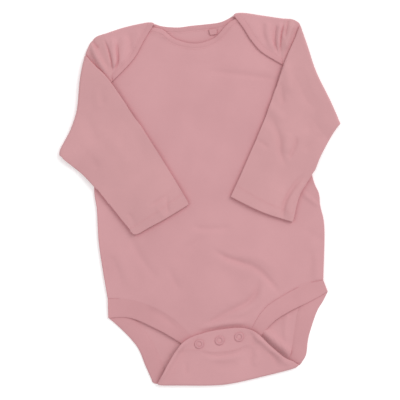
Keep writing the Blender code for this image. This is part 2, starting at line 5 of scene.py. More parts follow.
import bpy
import numpy as np
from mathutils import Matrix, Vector


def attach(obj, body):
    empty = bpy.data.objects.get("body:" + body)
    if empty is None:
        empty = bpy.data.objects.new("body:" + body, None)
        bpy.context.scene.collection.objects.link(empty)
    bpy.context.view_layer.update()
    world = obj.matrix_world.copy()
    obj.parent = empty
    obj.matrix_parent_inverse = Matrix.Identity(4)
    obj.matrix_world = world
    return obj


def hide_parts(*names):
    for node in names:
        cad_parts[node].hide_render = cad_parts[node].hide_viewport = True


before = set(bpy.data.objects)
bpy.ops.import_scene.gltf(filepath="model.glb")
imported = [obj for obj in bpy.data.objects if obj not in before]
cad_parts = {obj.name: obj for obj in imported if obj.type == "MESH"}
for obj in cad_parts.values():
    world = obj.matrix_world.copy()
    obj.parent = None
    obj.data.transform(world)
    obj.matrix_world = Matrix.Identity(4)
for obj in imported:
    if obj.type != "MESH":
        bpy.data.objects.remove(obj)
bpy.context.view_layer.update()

MM = 0.001

# Middle of the outline's box, which is the origin of the solids
MIDDLE = np.array([0.343, -0.392, 0.0])

# The cloth, and the heights of the middles of the layers that lie on each other
WALL = 1.2
GAP = 0.3
LAYER = WALL + GAP
FLOOR_LAYER = WALL / 2
FRONT_LAYER = FLOOR_LAYER + LAYER
TOP_LAYER = FRONT_LAYER + LAYER
ABOVE_FRONT = FRONT_LAYER + LAYER / 2

# How far the front stands off the back, the run over which it rises to that from these edges of the body,
# and the distance from the middle from which a panel's rim is its side
FRONT_LOFT = 3.0
LOFT_RAMP = 70.0
BODY_LEFT = -112.0
BODY_RIGHT = 115.0
BODY_TOP = 190.0
BODY_BOTTOM = -160.0
SIDES_FROM = 100.0

# How loosely the laps and the flap lie on the front, and how softly a height runs out to nothing
SLACK = 0.3
FLAP_SLACK = 0.6
SOFTNESS = 0.25

# Folds: their radius and how far their base is inside the outline, their open corners, and the front's
# edge, which lies further inside the shoulder's fold and is led softly to the neck
TURN_RADIUS = LAYER
TURN_INSET = TURN_RADIUS + WALL / 2
CORNER_INSET = 0.3
CORNER_STEP = 1.2
CORNER_BULGE = 0.6
CORNER_RUN = 3.0
FRONT_IN_TURN = 1.0
SHOULDER_LED_PART = 0.4

# Seams and edges: the gap at a seam, and the shares of the wall that are left at a free edge and at a seam
SEAM_GAP = 0.015
RIM = 0.2
SEAM_RIM = 0.95

# The sleeve tube: half its thickness where it is pressed flat, how much fuller it is in its middle, how far
# its stretch on the front is above the one on the floor, how far its fold's corners reach and lean towards
# points of its edges, how it goes down beside the body and up over the lap's tip, how its creases fade, and
# its hem
SLEEVE_HALF = 0.76
SLEEVE_LOFT = 1.1
SLEEVE_LOFT_PART = 0.9
SLEEVE_RISE = 3.15
FOLD_CORNER = 9.0
FOLD_LEAN = (1.0, 0.75)
LEAN_POINTS = (1, 2)
LED_PART = 0.07
SLEEVE_DROP_START = 3.0
SLEEVE_DROP_RUN = 30.0
LAP_LIFT = 1.9
LAP_LIFT_REACH = 40.0
LAP_END_RUN = 2.5
SHOULDER_FADE = 6.0
EDGE_FADE = 14.0
HEM_DEPTH = 12.0
HEM_SWELL = 0.12
HEM_STEP = 1.5

# The width of the bindings, their extra thickness and that of the bands over the cloth beside them, and that
# of the flap's doubled end
BINDING_WIDTH = 5.0
BINDING_CROWN = 0.3
BAND_CROWN = 0.2
FLAT_BAND_CROWN = 0.0
INSIDE_BAND_CROWN = 0.8
CROWN_FLATNESS = 0.4
PLACKET_CROWN = 0.45
PLACKET_STEP = 1.2

# Ring snaps, columns name, x, y; then the sizes of the ring, of the dip round it in the flap, of its foot in
# the cloth, and of the cloth domed in its hole
SNAPS = [("left", -22.5, -147.0), ("middle", -1.0, -145.5), ("right", 19.5, -144.0)]
SNAP_DIAMETER = 9.5
SNAP_HOLE = 5.0
SNAP_HEIGHT = 0.8
SNAP_FLATNESS = 0.5
SNAP_SEAT = 0.15
SNAP_DIP = 0.5
SNAP_DIP_RUN = 1.8
FOOT_INSET = 0.2
FOOT_DEPTH = 0.3
DOME_HEIGHT = 0.45
DOME_SEAT = 0.05
DOME_UNDER_RING = 0.3
DOME_START = 0.01

# Loop at the back of the neck
TAB_WIDTH = 8.5
TAB_LENGTH = 6.0
TAB_TAPER = 0.3
TAB_PLACE = (25.9, 174.4)

# Sewing: the thread stands out of the cloth in the middle of a stitch and dips into it at the ends, in parts
# of its radius, and the rows lie at these distances from each other, from a seam or from a line
THREAD_RADIUS = 0.16
THREAD_STANDS = 0.5
THREAD_DIPS = 1.2
THREAD_BLUNTNESS = 1.03
STITCH_PITCH = 2.7
STITCH_LENGTH = 2.0
HEM_ROWS = 2.6
BINDING_ROW = -1.2
BAND_ROW = -1.4
PLACKET_ROW = 1.6

# Distances from an open edge at which its round rim has points
ROUNDING = np.array([0.05, 0.2, 0.6])

# Cells across the end of a lap's binding, down the top of the front's side, round a fold and a sleeve's edge
# and along the loop; and the rows over which a sleeve's edge turns from the shoulder's fold to its own
TIP_CELLS = 8
TOP_CELLS = 8
TURN_CELLS = 10
EDGE_CELLS = 10
TAB_CELLS = 6
SEAM_STATIONS = 6

# Points over and round a ring snap, across its dome, and along and round a stitch
RING_STATIONS = 15
RING_SEGMENTS = 72
DOME_RINGS = 9
STITCH_STATIONS = 7
THREAD_SIDES = 6

# A crease is this many straight steps, fades over a quarter of its length at each end, and is worked out to
# three of its widths away
CREASE_STEPS = 14
FADE = 4.0
CREASE_REACH = 3

# How far each wave is bent by another across it, and how many of its lengths that one is long
WAVE_BEND = 0.5
WAVE_BEND_LENGTH = 2.3

# Points to a span of a smooth curve and to an outline, points of a rim that are worked out at a time, the
# digits in which points of two grids agree where they meet, and the angle in degrees of a sharp edge
SPAN_SAMPLES = 24
OUTLINE_SAMPLES = 200
RIM_BATCH = 4000
SAME_DIGITS = 3
SHARP_DEGREES = 50

# The points of each row of stitches that show
FRONT_LEG_SHOWN = slice(150)
BACK_NECK_SHOWN = slice(16, -16)
LAP_SHOWN = slice(12, -14)
PLACKET_SHOWN = slice(20, -20)
CUFF_SHOWN = slice(4, -4)

# Each side of the garment from above. Inward is the direction of x towards the middle. The curves have
# columns x, y: the shoulder's folded edge, the armhole seam beside the lap, then from the lap's tip to the
# underarm, and the side seam on to the leg band. The lap's bound edge from the neck to its tip and the leg
# bands from the side to the crotch have columns edge x, edge y, seam x, seam y. Then come the flap's side,
# and of the sleeve the middle of the edge over the shoulder, the folded edge, the hidden edge under the arm,
# both edges and the cuff of the stretch that lies on the front, the lap's tip and the x of the body's edge.
LEFT = {
    "inward": 1,
    "shoulder": [(-87.5, 184), (-66, 188.7), (-44.5, 191.2), (-37.5, 191), (-33.5, 189.8)],
    "armhole": [(-87.5, 181.9), (-84, 166), (-82.4, 153), (-83.1, 143.6)],
    "underarm": [(-84, 133.5), (-88, 115.5), (-96, 94), (-106, 73)],
    "side seam": [(-106, 73), (-114.1, 27), (-113.8, 2), (-115.4, -30), (-114.2, -60), (-112.2, -90.5)],
    "lap": [
        (-34, 189.2, -41.5, 188.7), (-46, 173.5, -50.6, 175.7), (-56.5, 158, -60.5, 161.1),
        (-68, 146.5, -71.2, 150.4), (-84, 133.7, -83.2, 141.9),
    ],
    "leg front": [
        (-113.7, -110.3, -112.2, -90.5), (-91, -112.8, -88, -94), (-69, -124.5, -64, -105),
        (-50, -137.5, -42, -122.5), (-30.5, -153.5, -16, -156),
    ],
    "leg back": [
        (-113.7, -110.3, -112.2, -90.5), (-105.6, -118.8, -96, -103), (-94.2, -132.5, -79.5, -122.5),
        (-85.8, -146, -70.5, -140), (-80.6, -163.5, -63.5, -160), (-75.2, -180.2, -56, -183.8),
    ],
    "flap": [(-69.6, -183.2), (-61.6, -171.4), (-52, -157.5), (-42.5, -146.5), (-36.5, -142), (-30, -139)],
    "over": [
        (-87.5, 181.9), (-95.5, 179.9), (-101.5, 175.2), (-105.2, 169.5), (-108, 164.7), (-107.9, 160.9),
    ],
    "fold": [
        (-109.7, 163.2), (-117, 140), (-123.3, 109.3), (-131, 91), (-135.3, 83.6), (-140.8, 75.6),
        (-145.3, 69), (-146.5, 64.6),
    ],
    "under": [(-106, 73), (-146.5, 64.3)],
    "top": [(-108, 163), (-99.5, 152), (-85.5, 134), (-54, 76.5), (-32, 31), (-18.7, 1.7)],
    "bottom": [
        (-146, 62.6), (-143, 58.9), (-137.7, 53.6), (-124.5, 40.3), (-111, 22), (-92, -6), (-84.8, -15.8),
        (-80.6, -22.6),
    ],
    "cuff": [
        (-18.7, 1.7), (-18.2, -1), (-20.6, -2.9), (-45, -14.5), (-60.8, -21), (-70.8, -25.5),
        (-75.6, -26.9), (-79, -25.9), (-80.6, -22.6),
    ],
    "lap tip": (-84, 133.5),
    "body edge": -111,
}
RIGHT = {
    "inward": -1,
    "shoulder": [(48.5, 189.8), (51.5, 191.2), (60, 190.8), (76, 186.7), (100.5, 180.4)],
    "armhole": [(100.5, 178.3), (96, 164), (93.8, 151), (93.9, 141.5)],
    "underarm": [(94.5, 132.2), (97, 116.5), (102.5, 99.5), (110.5, 83.5)],
    "side seam": [(110.5, 83.5), (112.8, 17), (117.8, -4), (118, -17), (119.8, -41), (113, -94.5)],
    "lap": [
        (48.8, 189.2, 56.5, 188.4), (57.2, 175.5, 62, 177.2), (64.2, 161.5, 68.4, 164.3),
        (74.5, 147.3, 77.8, 151.2), (94.4, 132.4, 94, 139.5),
    ],
    "leg front": [
        (116.4, -107, 113, -94.5), (99, -114.5, 94, -97), (76, -122.8, 69, -106.5), (56, -133, 46, -120.5),
        (35.5, -152.5, 20.5, -156),
    ],
    "leg back": [
        (116.4, -107, 113, -94.5), (110.6, -116.2, 94.5, -104), (102.4, -127.5, 84.5, -119.5),
        (91.8, -151.4, 77, -146), (87.2, -169.5, 71, -168), (81.4, -178, 63, -181.8),
    ],
    "flap": [
        (77.8, -179.4), (73, -175.2), (64, -169.8), (51, -156.5), (41, -144.5), (35, -139.2), (28, -135.9),
    ],
    "over": [(100.5, 178.3), (108, 177.3), (113.2, 175), (116.2, 171.9), (115.7, 168.2)],
    "fold": [(117.1, 170.7), (122.5, 147.5), (128.5, 121), (139.5, 91), (147.4, 66.5)],
    "under": [(110.5, 83.5), (147.4, 66.5)],
    "top": [(116.8, 170), (107, 154.5), (94.5, 132), (72.5, 85.5), (47, 38), (27.5, 4.1)],
    "bottom": [
        (147.4, 65.5), (142, 60), (134, 49.5), (123, 32.8), (113.8, 15.6), (98.5, -3), (88.1, -28.2),
    ],
    "cuff": [(27.5, 4.1), (27, 1.9), (28.6, 0.1), (56, -17), (84.4, -29.8), (86.7, -29.9), (88.1, -28.2)],
    "lap tip": (94.5, 132),
    "body edge": 112.5,
}
SIDES = (LEFT, RIGHT)

# Each side, and the index of its end of a row that runs from left to right
ENDS = ((LEFT, 0), (RIGHT, -1))

# The back neck and the front neck from left to right, columns edge x, edge y, seam x, seam y
BACK_NECK = [
    (-34, 189.2, -41.5, 188.7), (-25.5, 185.7, -28, 180.8), (-10, 183, -10.5, 178), (4, 183.3, 4, 178.2),
    (20, 183.2, 20.3, 178.1), (33, 183.6, 34.5, 178.8), (41, 185.7, 43.5, 181.6),
    (48.8, 189.2, 56.5, 188.4),
]
FRONT_NECK = [
    (-41.5, 187.2, -44, 183), (-26.5, 182.6, -28.8, 178.2), (-14, 171.3, -17, 167), (6, 164.3, 5.5, 159.3),
    (26, 168, 28.5, 163.6), (43, 182, 46.5, 178.4), (54.5, 187, 58.5, 183),
]

# The fold at the bottom of the crotch, the flap's snap end, and the line where its doubled end stops,
# columns x, y
CROTCH_FOLD = [
    (-76, -180.4), (-74, -183), (-70, -185), (-64, -186.2), (-49, -187.8), (-12, -191.6), (10, -191.4),
    (44, -187.2), (66, -184), (75, -182.2), (79.6, -180), (82.4, -177.4),
]
FLAP_END = [(-30, -139), (-22, -136.9), (-8, -134.7), (12, -133.9), (21, -134.5), (28, -135.9)]
PLACKET_LINE = [(-50, -150.5), (-22, -155.5), (-10, -158.8), (1, -159.3), (15, -158.3), (46, -150.5)]

# Creases, columns depth of the trough (a ridge if negative), its width, then points x, y along it
FRONT_CREASES = [
    (1.7, 3, [(-2, -48), (13.7, -59.8), (31.7, -68), (44.6, -74.6), (55.8, -87.3), (69.5, -108)]),
    (-0.6, 4.5, [(20, -55), (38, -61), (56, -70), (70, -88)]),
    (-0.4, 4.5, [(6, -64), (26, -75), (40, -83)]),
    (1.5, 3.2, [(46, -80), (45, -93), (34, -108), (6.5, -119), (-22, -134)]),
    (-0.9, 3.8, [(52.5, -92), (46, -107), (31, -117), (10, -126)]),
    (-0.5, 4.5, [(38, -90), (30, -101), (8, -110)]),
    (0.7, 2.8, [(10, 135), (30, 131), (60, 124.6), (96, 115.5)]),
    (-0.3, 4, [(20, 142), (58, 133), (88, 126)]),
    (0.9, 3.4, [(-20, -25), (2.3, -29.4), (27, -30)]),
    (0.8, 4.2, [(0, -35), (-23.4, -45.5), (-41, -60)]),
    (0.8, 4.4, [(-86, -22), (-74, -50), (-58, -78)]),
    (-0.7, 7, [(-99, -34), (-92, -60), (-85, -86)]),
    (1, 4.4, [(-108, -44), (-101, -60), (-98, -80)]),
    (0.8, 3.4, [(98, -38), (109, -47.5), (120, -57)]),
    (1.1, 2.8, [(104, -60), (100.5, -76), (96.5, -97)]),
    (-0.9, 3.8, [(109.5, -64), (107.5, -82), (105.5, -98)]),
    (-1.2, 2.4, [(100, -1), (108, -9), (118, -19)]),
    (1.6, 2.4, [(101, 13), (109, 6), (117, -3)]),
    (0.5, 9, [(-10, 110), (0, 70), (6, 20)]),
    (-0.4, 12, [(-70, -95), (-30, -100), (0, -112)]),
    (0.7, 4, [(-45, -62), (-42.5, -76), (-36, -92)]),
    (0.8, 3, [(-78, -104), (-60, -112), (-42, -130)]),
    (-0.5, 8, [(-10, 158), (8, 152), (30, 156)]),
    (-1.2, 3, [(-24, -131), (-8, -129), (12, -128.2), (34, -130)]),
    (2, 2.2, [(-26, -137.6), (-12, -134.8), (12, -133.5), (28, -135.4), (42, -145)]),
    (-0.9, 3.6, [(-40, 182), (-29, 178), (-19, 169)]),
    (-0.9, 3.6, [(27, 166), (38, 174), (49, 180)]),
]
LAP_CREASES = [
    (-1.2, 6, [(-87, 183), (-84.5, 168), (-83, 154), (-84, 145)]),
    (1.9, 1.1, [(-88.5, 181), (-84, 166), (-82.4, 153), (-83.1, 143.6), (-84.5, 132)]),
    (-1.2, 6, [(99, 180), (96, 166), (94.5, 152), (94, 144)]),
    (1.9, 1.1, [(101.5, 178.5), (96, 164), (93.8, 151), (93.9, 141.5), (94.8, 130)]),
    (-1.9, 3.2, [(-78, 182), (-79.2, 168), (-79, 154), (-82, 144)]),
    (2.4, 1.2, [(-74.8, 174), (-75.2, 165), (-76.2, 153), (-82, 142.5)]),
    (-1.5, 4.6, [(-67.5, 183), (-68.5, 168), (-71.5, 154), (-76, 148)]),
    (0.7, 2.4, [(-62.5, 183), (-61, 172), (-64, 160)]),
    (-0.8, 4.6, [(-52, 187), (-53, 176), (-59, 164)]),
    (-1.5, 3.6, [(83.5, 182), (82.5, 167), (84.5, 155), (88, 146)]),
    (2, 1.2, [(92.5, 176), (89, 165), (88.4, 154), (91, 143)]),
    (-1.4, 2.2, [(97, 178), (93.2, 164), (91.6, 150)]),
    (0.6, 2.6, [(78.5, 181), (76.5, 168), (80, 156)]),
    (-0.8, 6, [(66, 186), (68, 174), (75, 160)]),
]
SHOULDER_CREASES = [
    (1.6, 1.7, [(-100.5, 179), (-98, 174), (-94.5, 168.5)]),
    (-3.4, 2.7, [(-101.5, 177), (-98.3, 163.5), (-94.2, 154), (-89.8, 145.5), (-86.5, 138.5)]),
    (-0.8, 2.6, [(-104.5, 173), (-106, 167.5), (-107.5, 162)]),
    (-2, 3.2, [(110.5, 177), (106.5, 169), (102, 158), (97.5, 147)]),
    (1.2, 1.7, [(105.5, 179.5), (102, 171), (99, 160)]),
    (-1.2, 2, [(102, 177), (98.5, 166), (96.5, 155)]),
]
SLEEVE_CREASES = [
    (0.6, 3.6, [(-91.5, 133), (-95.5, 122), (-95, 108)]),
    (-0.4, 3.6, [(-100.5, 130), (-102, 118), (-100, 105)]),
    (1.1, 7, [(-123, 106), (-113, 88), (-107, 68)]),
    (1.1, 4.4, [(-130, 70), (-117.5, 58.5), (-106, 43)]),
    (-0.7, 7, [(-101, 86), (-84, 62), (-75, 38)]),
    (1.2, 2, [(-59, -0.5), (-50.6, 4.4), (-37.3, 11.4), (-30.5, 18)]),
    (0.9, 1.8, [(-38.5, 11.5), (-40.3, 1.3), (-40.3, -10)]),
    (-0.6, 3.4, [(-51, -1), (-47, -8), (-44, -14)]),
    (1, 2.2, [(-82, -3), (-78, -11), (-74.5, -21)]),
    (0.7, 7, [(-82, 108), (-66, 76), (-57, 48)]),
    (1.9, 5.5, [(108, 130), (112.5, 112), (117, 96), (125, 82)]),
    (-1.3, 4.6, [(98.5, 136), (97.6, 120), (100, 100)]),
    (1.3, 2.8, [(88, 116), (89.5, 103), (90.5, 90)]),
    (-1.2, 4.6, [(69, 98), (80, 86), (91, 72)]),
    (1.6, 3.6, [(67, 85), (78, 71), (82.5, 56), (82, 42), (87.5, 24)]),
    (1.1, 2.2, [(52, 61), (60, 56.5), (72, 47.5)]),
    (1.3, 2.4, [(101.5, 58), (97, 46), (89, 33)]),
    (-0.9, 4.2, [(92.5, 64), (90, 52), (88, 40)]),
    (0.9, 5, [(129, 93), (122, 76), (109, 58)]),
    (0.9, 4, [(129, 58.5), (118, 50), (105, 39)]),
    (2.2, 1.9, [(77, -30), (79.5, -14), (87, -1), (97, 10.5), (106, 19)]),
    (-1.6, 3.8, [(83.5, -31), (86, -14), (93.5, -1.5), (106, 12)]),
    (-0.8, 5, [(67, -24), (72, -10), (81, 8)]),
]
FLAP_CREASES = [
    (1.2, 1.6, [(-26, -153), (-10.3, -159.6), (0.1, -160.6), (14.9, -159.4), (22.6, -156.4), (33, -155)]),
    (-0.8, 2.6, [(-20, -162.5), (0, -165.5), (18, -164), (27, -161.5)]),
    (1.2, 1.8, [(32.5, -155), (31, -163), (26.5, -175)]),
    (-0.9, 3.2, [(37, -158), (35.5, -167), (32, -177)]),
    (0.9, 4, [(-12, -169.5), (2, -172.5), (16, -172)]),
    (1, 1.8, [(-38, -163.5), (-39.6, -177)]),
    (1.2, 2, [(49.5, -161.5), (53.5, -171), (57.5, -182)]),
    (-1.2, 2.8, [(57, -167), (63, -174), (71, -178.5)]),
    (1, 2.8, [(31.5, -139), (33, -146), (33.5, -156)]),
    (-3.2, 3.4, [(-30, -138.6), (-42.8, -148.2), (-53, -160.5), (-62.4, -174), (-70, -186)]),
    (-2.2, 3, [(32, -140), (43, -151), (54, -163), (68, -173.5)]),
]
INSIDE_CREASES = [
    (-0.9, 3, [(-99, -114), (-89, -129), (-81, -150)]),
    (-3.8, 3.2, [(41.5, -136), (53, -148), (64.5, -160), (75, -170.5)]),
    (-0.9, 3, [(74, -122), (69, -138), (67, -158)]),
]

# Long, low unevenness of cloth that has been laid by hand: columns height, wave length, direction, start
WAVES = [
    (0.16, 61.0, 25.0, 0.6),
    (0.13, 47.0, 118.0, 2.1),
    (0.07, 33.0, 72.0, 4.0),
    (0.04, 21.0, 160.0, 1.3),
]


def smooth(rows, at):
    """A smooth curve through the rows (Catmull-Rom spans), read at shares of its length."""
    knots = np.asarray(rows, float)
    padded = np.vstack([2 * knots[0] - knots[1], knots, 2 * knots[-1] - knots[-2]])
    t = np.linspace(0, 1, SPAN_SAMPLES, endpoint=False)[:, None]
    spans = []
    for before, start, end, after in zip(padded, padded[1:], padded[2:], padded[3:]):
        bend = 2 * before - 5 * start + 4 * end - after
        twist = 3 * start - before - 3 * end + after
        spans.append(start + 0.5 * t * (end - before) + 0.5 * t**2 * bend + 0.5 * t**3 * twist)
    fine = np.vstack(spans + [knots[-1:]])
    length = lengths(fine[:, :2])
    return np.column_stack([np.interp(at * length[-1], length, column) for column in fine.T])


def lengths(curve):
    """Distance along a curve at each of its points."""
    return np.concatenate([[0], np.cumsum(np.linalg.norm(np.diff(curve, axis=0), axis=1))])


def even(cells):
    """Equal shares from 0 to 1."""
    return np.linspace(0, 1, cells + 1)


def closer(cells, length, start=False, end=False):
    """Equal shares from 0 to 1, with the rim's own points added beside an open start or end."""
    parts = [even(cells)]
    if start:
        parts.append(ROUNDING / length)
    if end:
        parts.append(1 - ROUNDING / length)
    return np.unique(np.concatenate(parts))


# Shares along each stretch of cloth, from its cells and, where an end is open, about how long it is
LAP_AT = closer(cells=56, length=50.0, start=True)
NECK_AT = even(cells=56)
UPPER_AT = even(cells=40)
LOWER_AT = even(cells=36)
SIDE_AT = even(cells=130)
BACK_SIDE_AT = even(cells=64)
FLAP_AT = closer(cells=34, length=60.0, end=True)
BAND_AT = closer(cells=8, length=18.0, start=True)
BINDING_AT = closer(cells=8, length=BINDING_WIDTH, start=True)
ARM_AT = even(cells=34)
FOREARM_AT = closer(cells=110, length=200.0, end=True)


def unit(ways):
    """Each direction with length 1."""
    return ways / np.linalg.norm(ways, axis=-1, keepdims=True)


def pulled(curve, other, distance):
    """The curve with each point moved a distance towards the matching point of another curve."""
    return curve + unit(other - curve) * distance


def patch(top, bottom, left, right):
    """A surface between four edge curves (a Coons patch), as rows from top to bottom."""
    across = (share(top) + share(bottom))[None, :, None] / 2
    down = (share(left) + share(right))[:, None, None] / 2
    between_ends = (1 - down) * top[None] + down * bottom[None]
    between_sides = (1 - across) * left[:, None] + across * right[:, None]
    top_line = (1 - across) * top[0] + across * top[-1]
    bottom_line = (1 - across) * bottom[0] + across * bottom[-1]
    return between_ends + between_sides - (1 - down) * top_line - down * bottom_line


def share(curve):
    """How far along a curve each of its points lies, from 0 to 1."""
    along = lengths(curve)
    return along / along[-1]


def ramp(part):
    """An even rise from 0 to 1 with soft ends."""
    part = np.clip(part, 0, 1)
    return part * part * (3 - 2 * part)


def soft(height):
    """The height where it is above 0, running out smoothly to 0 below."""
    return SOFTNESS * np.logaddexp(0, height / SOFTNESS)


def relief(x, y, table):
    """How far creases press the cloth down: for each smooth line, its depth times a bell of the distance
    from the line over the width, which starts and ends softly along the line."""
    total = np.zeros(np.shape(x))
    for depth, width, knots in table:
        line = smooth(knots, even(CREASE_STEPS))
        low, high = line.min(0) - CREASE_REACH * width, line.max(0) + CREASE_REACH * width
        near = (x > low[0]) & (x < high[0]) & (y > low[1]) & (y < high[1])
        if not near.any():
            continue
        start, step = line[:-1], np.diff(line, axis=0)
        from_start = np.stack([x[near], y[near]], -1)[:, None] - start
        along = np.clip((from_start * step).sum(-1) / (step**2).sum(-1), 0, 1)
        away = np.linalg.norm(from_start - along[..., None] * step, axis=-1)
        nearest = away.argmin(1)
        rows = np.arange(len(nearest))
        part = (nearest + along[rows, nearest]) / CREASE_STEPS
        fade = ramp(FADE * np.minimum(part, 1 - part))
        total[near] += depth * fade * np.exp(-((away[rows, nearest] / width) ** 2))
    return total


def waves(x, y):
    """Low unevenness: a few sines of the distance along different directions, each bent by another sine."""
    total = np.zeros(np.shape(x))
    for height, length, direction, start in WAVES:
        angle = np.radians(direction)
        sideways = x * np.sin(angle) - y * np.cos(angle)
        bent = WAVE_BEND * np.sin(2 * np.pi * sideways / (WAVE_BEND_LENGTH * length))
        total += height * np.sin(2 * np.pi * (x * np.cos(angle) + y * np.sin(angle)) / length + start + bent)
    return total


def loft(x, y):
    """How far the front stands off the back: most well inside the body, nothing at its edges."""
    sideways = ramp(np.minimum(x - BODY_LEFT, BODY_RIGHT - x) / LOFT_RAMP)
    lengthways = ramp(np.minimum(BODY_TOP - y, y - BODY_BOTTOM) / LOFT_RAMP)
    return FRONT_LOFT * sideways * lengthways


def front_height(x, y):
    """Middle of the front's wall: its layer, and softly above it the loft and the waves less the creases."""
    return FRONT_LAYER + soft(loft(x, y) + waves(x, y) - relief(x, y, FRONT_CREASES))


def lap_height(x, y):
    """Middle of a lap's wall: a layer above the front's loft, with slack, half the waves and creases of its
    own."""
    return TOP_LAYER + loft(x, y) + soft(SLACK + waves(x, y) / 2 - relief(x, y, LAP_CREASES))


def flap_height(x, y):
    """Middle of the flap's wall: as a lap's, and dipped by a bell of the distance from each snap's ring."""
    dips = np.zeros(np.shape(x))
    for _, snap_x, snap_y in SNAPS:
        away = np.hypot(x - snap_x, y - snap_y) - SNAP_DIAMETER / 2
        dips += SNAP_DIP * np.exp(-((away / SNAP_DIP_RUN) ** 2))
    return TOP_LAYER + loft(x, y) + soft(FLAP_SLACK + waves(x, y) / 2 - dips - relief(x, y, FLAP_CREASES))


def lifted(flat, height):
    """Flat points with their height added, from a number or from a function of x and y."""
    if callable(height):
        height = height(flat[..., 0], flat[..., 1])
    return np.concatenate([flat, np.broadcast_to(height, flat.shape[:-1])[..., None]], axis=-1)


def knitted(grid):
    """Points with the place that each has in the knitting, here simply its own x and y."""
    return np.concatenate([grid, grid[..., :2]], axis=-1)


def run(grid, axis):
    """Distance along one axis of a grid, as the mean over the other."""
    return np.cumsum(np.r_[0, np.linalg.norm(np.diff(grid, axis=axis), axis=-1).mean(1 - axis)])


def mapped(grid, across, along):
    """Points with their place in the knitting, from a distance across for each column and one along for each
    row."""
    place = np.stack(np.broadcast_arrays(across[None, :], along[:, None]), axis=-1)
    return np.concatenate([grid, place], axis=-1)


def lengthwise(grid):
    """Points with their place in the knitting: across the columns, and along the rows."""
    return mapped(grid, run(grid, 1), run(grid, 0))


def turn(lower, upper, outward):
    """Rows of a half-round fold from the lower row up to the upper row, bulging outward in the plane."""
    angle = np.pi * even(TURN_CELLS)[:, None, None]
    rise = (1 - np.cos(angle)) / 2
    rows = lower * (1 - rise) + upper * rise
    rows[..., :2] += np.asarray(outward) * TURN_RADIUS * np.sin(angle)
    return rows


def bulge(away):
    """The share of a fold's bulge at distances from its open corner, where it is the least."""
    return CORNER_BULGE + (1 - CORNER_BULGE) * ramp(away / CORNER_RUN)


def merged(grids, closed):
    """Points, places in the knitting and quads of several grids, whose shared points become one."""
    points, quads, start = [], [], 0
    for grid in grids:
        rows, columns = grid.shape[:2]
        index = np.arange(rows * columns).reshape(rows, columns) + start
        if closed:
            index = np.hstack([index, index[:, :1]])
        corners = [index[:-1, :-1], index[1:, :-1], index[1:, 1:], index[:-1, 1:]]
        quads.append(np.stack(corners, axis=-1).reshape(-1, 4))
        points.append(grid.reshape(rows * columns, -1))
        start += rows * columns
    points = np.vstack(points)
    rounded = np.round(points[:, :3], SAME_DIGITS)
    _, first, place = np.unique(rounded, axis=0, return_index=True, return_inverse=True)
    return points[first, :3], points[first, 3:], place.reshape(-1)[np.vstack(quads)]


def open_edges(quads):
    """The directed edges that belong to a single quad."""
    edges = np.vstack([quads[:, [k, (k + 1) % 4]] for k in range(4)])
    _, place, uses = np.unique(np.sort(edges, axis=1), axis=0, return_inverse=True, return_counts=True)
    return edges[uses[place.reshape(-1)] == 1]


def thinning(points, rim, free):
    """The share of the wall at each point: it falls towards a free edge as a quarter circle, down to the
    rim's own share, and stays nearly whole at a seam."""
    on_rim = np.zeros(len(points), bool)
    on_rim[rim] = True
    edge = points[on_rim & free]
    inward = []
    for start in range(0, len(points), RIM_BATCH):
        away = points[start : start + RIM_BATCH, None] - edge
        inward.append(np.sqrt((away**2).sum(-1).min(1)) / (WALL / 2))
    rounded = np.sqrt(1 - (1 - np.clip(np.concatenate(inward), 0, 1)) ** 2)
    rounded = np.maximum(rounded, RIM)
    return np.where(on_rim & ~free, np.minimum(rounded, SEAM_RIM), rounded)


def cloth(name, grids, finish, free, closed=False, swell=None):
    """A closed shell of even wall: the grids' points moved out and in by half the wall along the normals, and
    joined round the open edges. Swell adds thickness to the side that faces up."""
    points, place, quads = merged(grids, closed)
    corner = points[quads]
    facing = np.cross(corner[:, 2] - corner[:, 0], corner[:, 3] - corner[:, 1])
    normals = np.zeros_like(points)
    for column in range(4):
        np.add.at(normals, quads[:, column], facing)
    normals = unit(normals)
    rim = open_edges(quads)
    share_of_wall = thinning(points, rim, free(points, place))
    extra = 0 if swell is None else swell(points, place) * share_of_wall
    up, down = np.clip(normals[:, 2], 0, 1) * extra, np.clip(-normals[:, 2], 0, 1) * extra
    outer = points + normals * (WALL / 2 * share_of_wall + up)[:, None]
    inner = points - normals * (WALL / 2 * share_of_wall + down)[:, None]
    below = len(points)
    wall = np.stack([rim[:, 1], rim[:, 0], rim[:, 0] + below, rim[:, 1] + below], axis=1)
    faces = np.vstack([quads, quads[:, ::-1] + below, wall])
    return solid(name, np.vstack([outer, inner]), faces.tolist(), finish, np.vstack([place, place]))


def placed(name, data):
    """A new object in the scene."""
    thing = bpy.data.objects.new(name, data)
    bpy.context.scene.collection.objects.link(thing)
    return thing


def solid(name, vertices, faces, finish, place=None):
    """A piece from points in millimetres and their faces, riding on the garment."""
    mesh = bpy.data.meshes.new(name)
    mesh.from_pydata(((vertices - MIDDLE) * MM).tolist(), [], faces)
    mesh.materials.append(finish)
    if place is not None:
        corners = np.empty(len(mesh.loops), int)
        mesh.loops.foreach_get("vertex_index", corners)
        mesh.uv_layers.new(name="knit").uv.foreach_set("vector", (place[corners] * MM).ravel())
    mesh.shade_smooth()
    mesh.set_sharp_from_angle(angle=np.radians(SHARP_DEGREES))
    piece = placed(name, mesh)
    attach(piece, "root")
    return piece


def below_armholes(points):
    """The points that lie below the left underarm."""
    return points[:, 1] < LEFT["underarm"][-1][1]


def open_sides(points, place):
    """A panel's free sides, below the armholes."""
    return below_armholes(points) & (np.abs(points[:, 0]) > SIDES_FROM)


def sides_and_right_seam(points, place):
    """The front's free sides, and its edge at the right leg band, where the seam is pulled open enough to
    show as a line."""
    right_seam = below_armholes(points) & (points[:, 0] > 0) & (points[:, 2] > ABOVE_FRONT)
    return right_seam | open_sides(points, place)


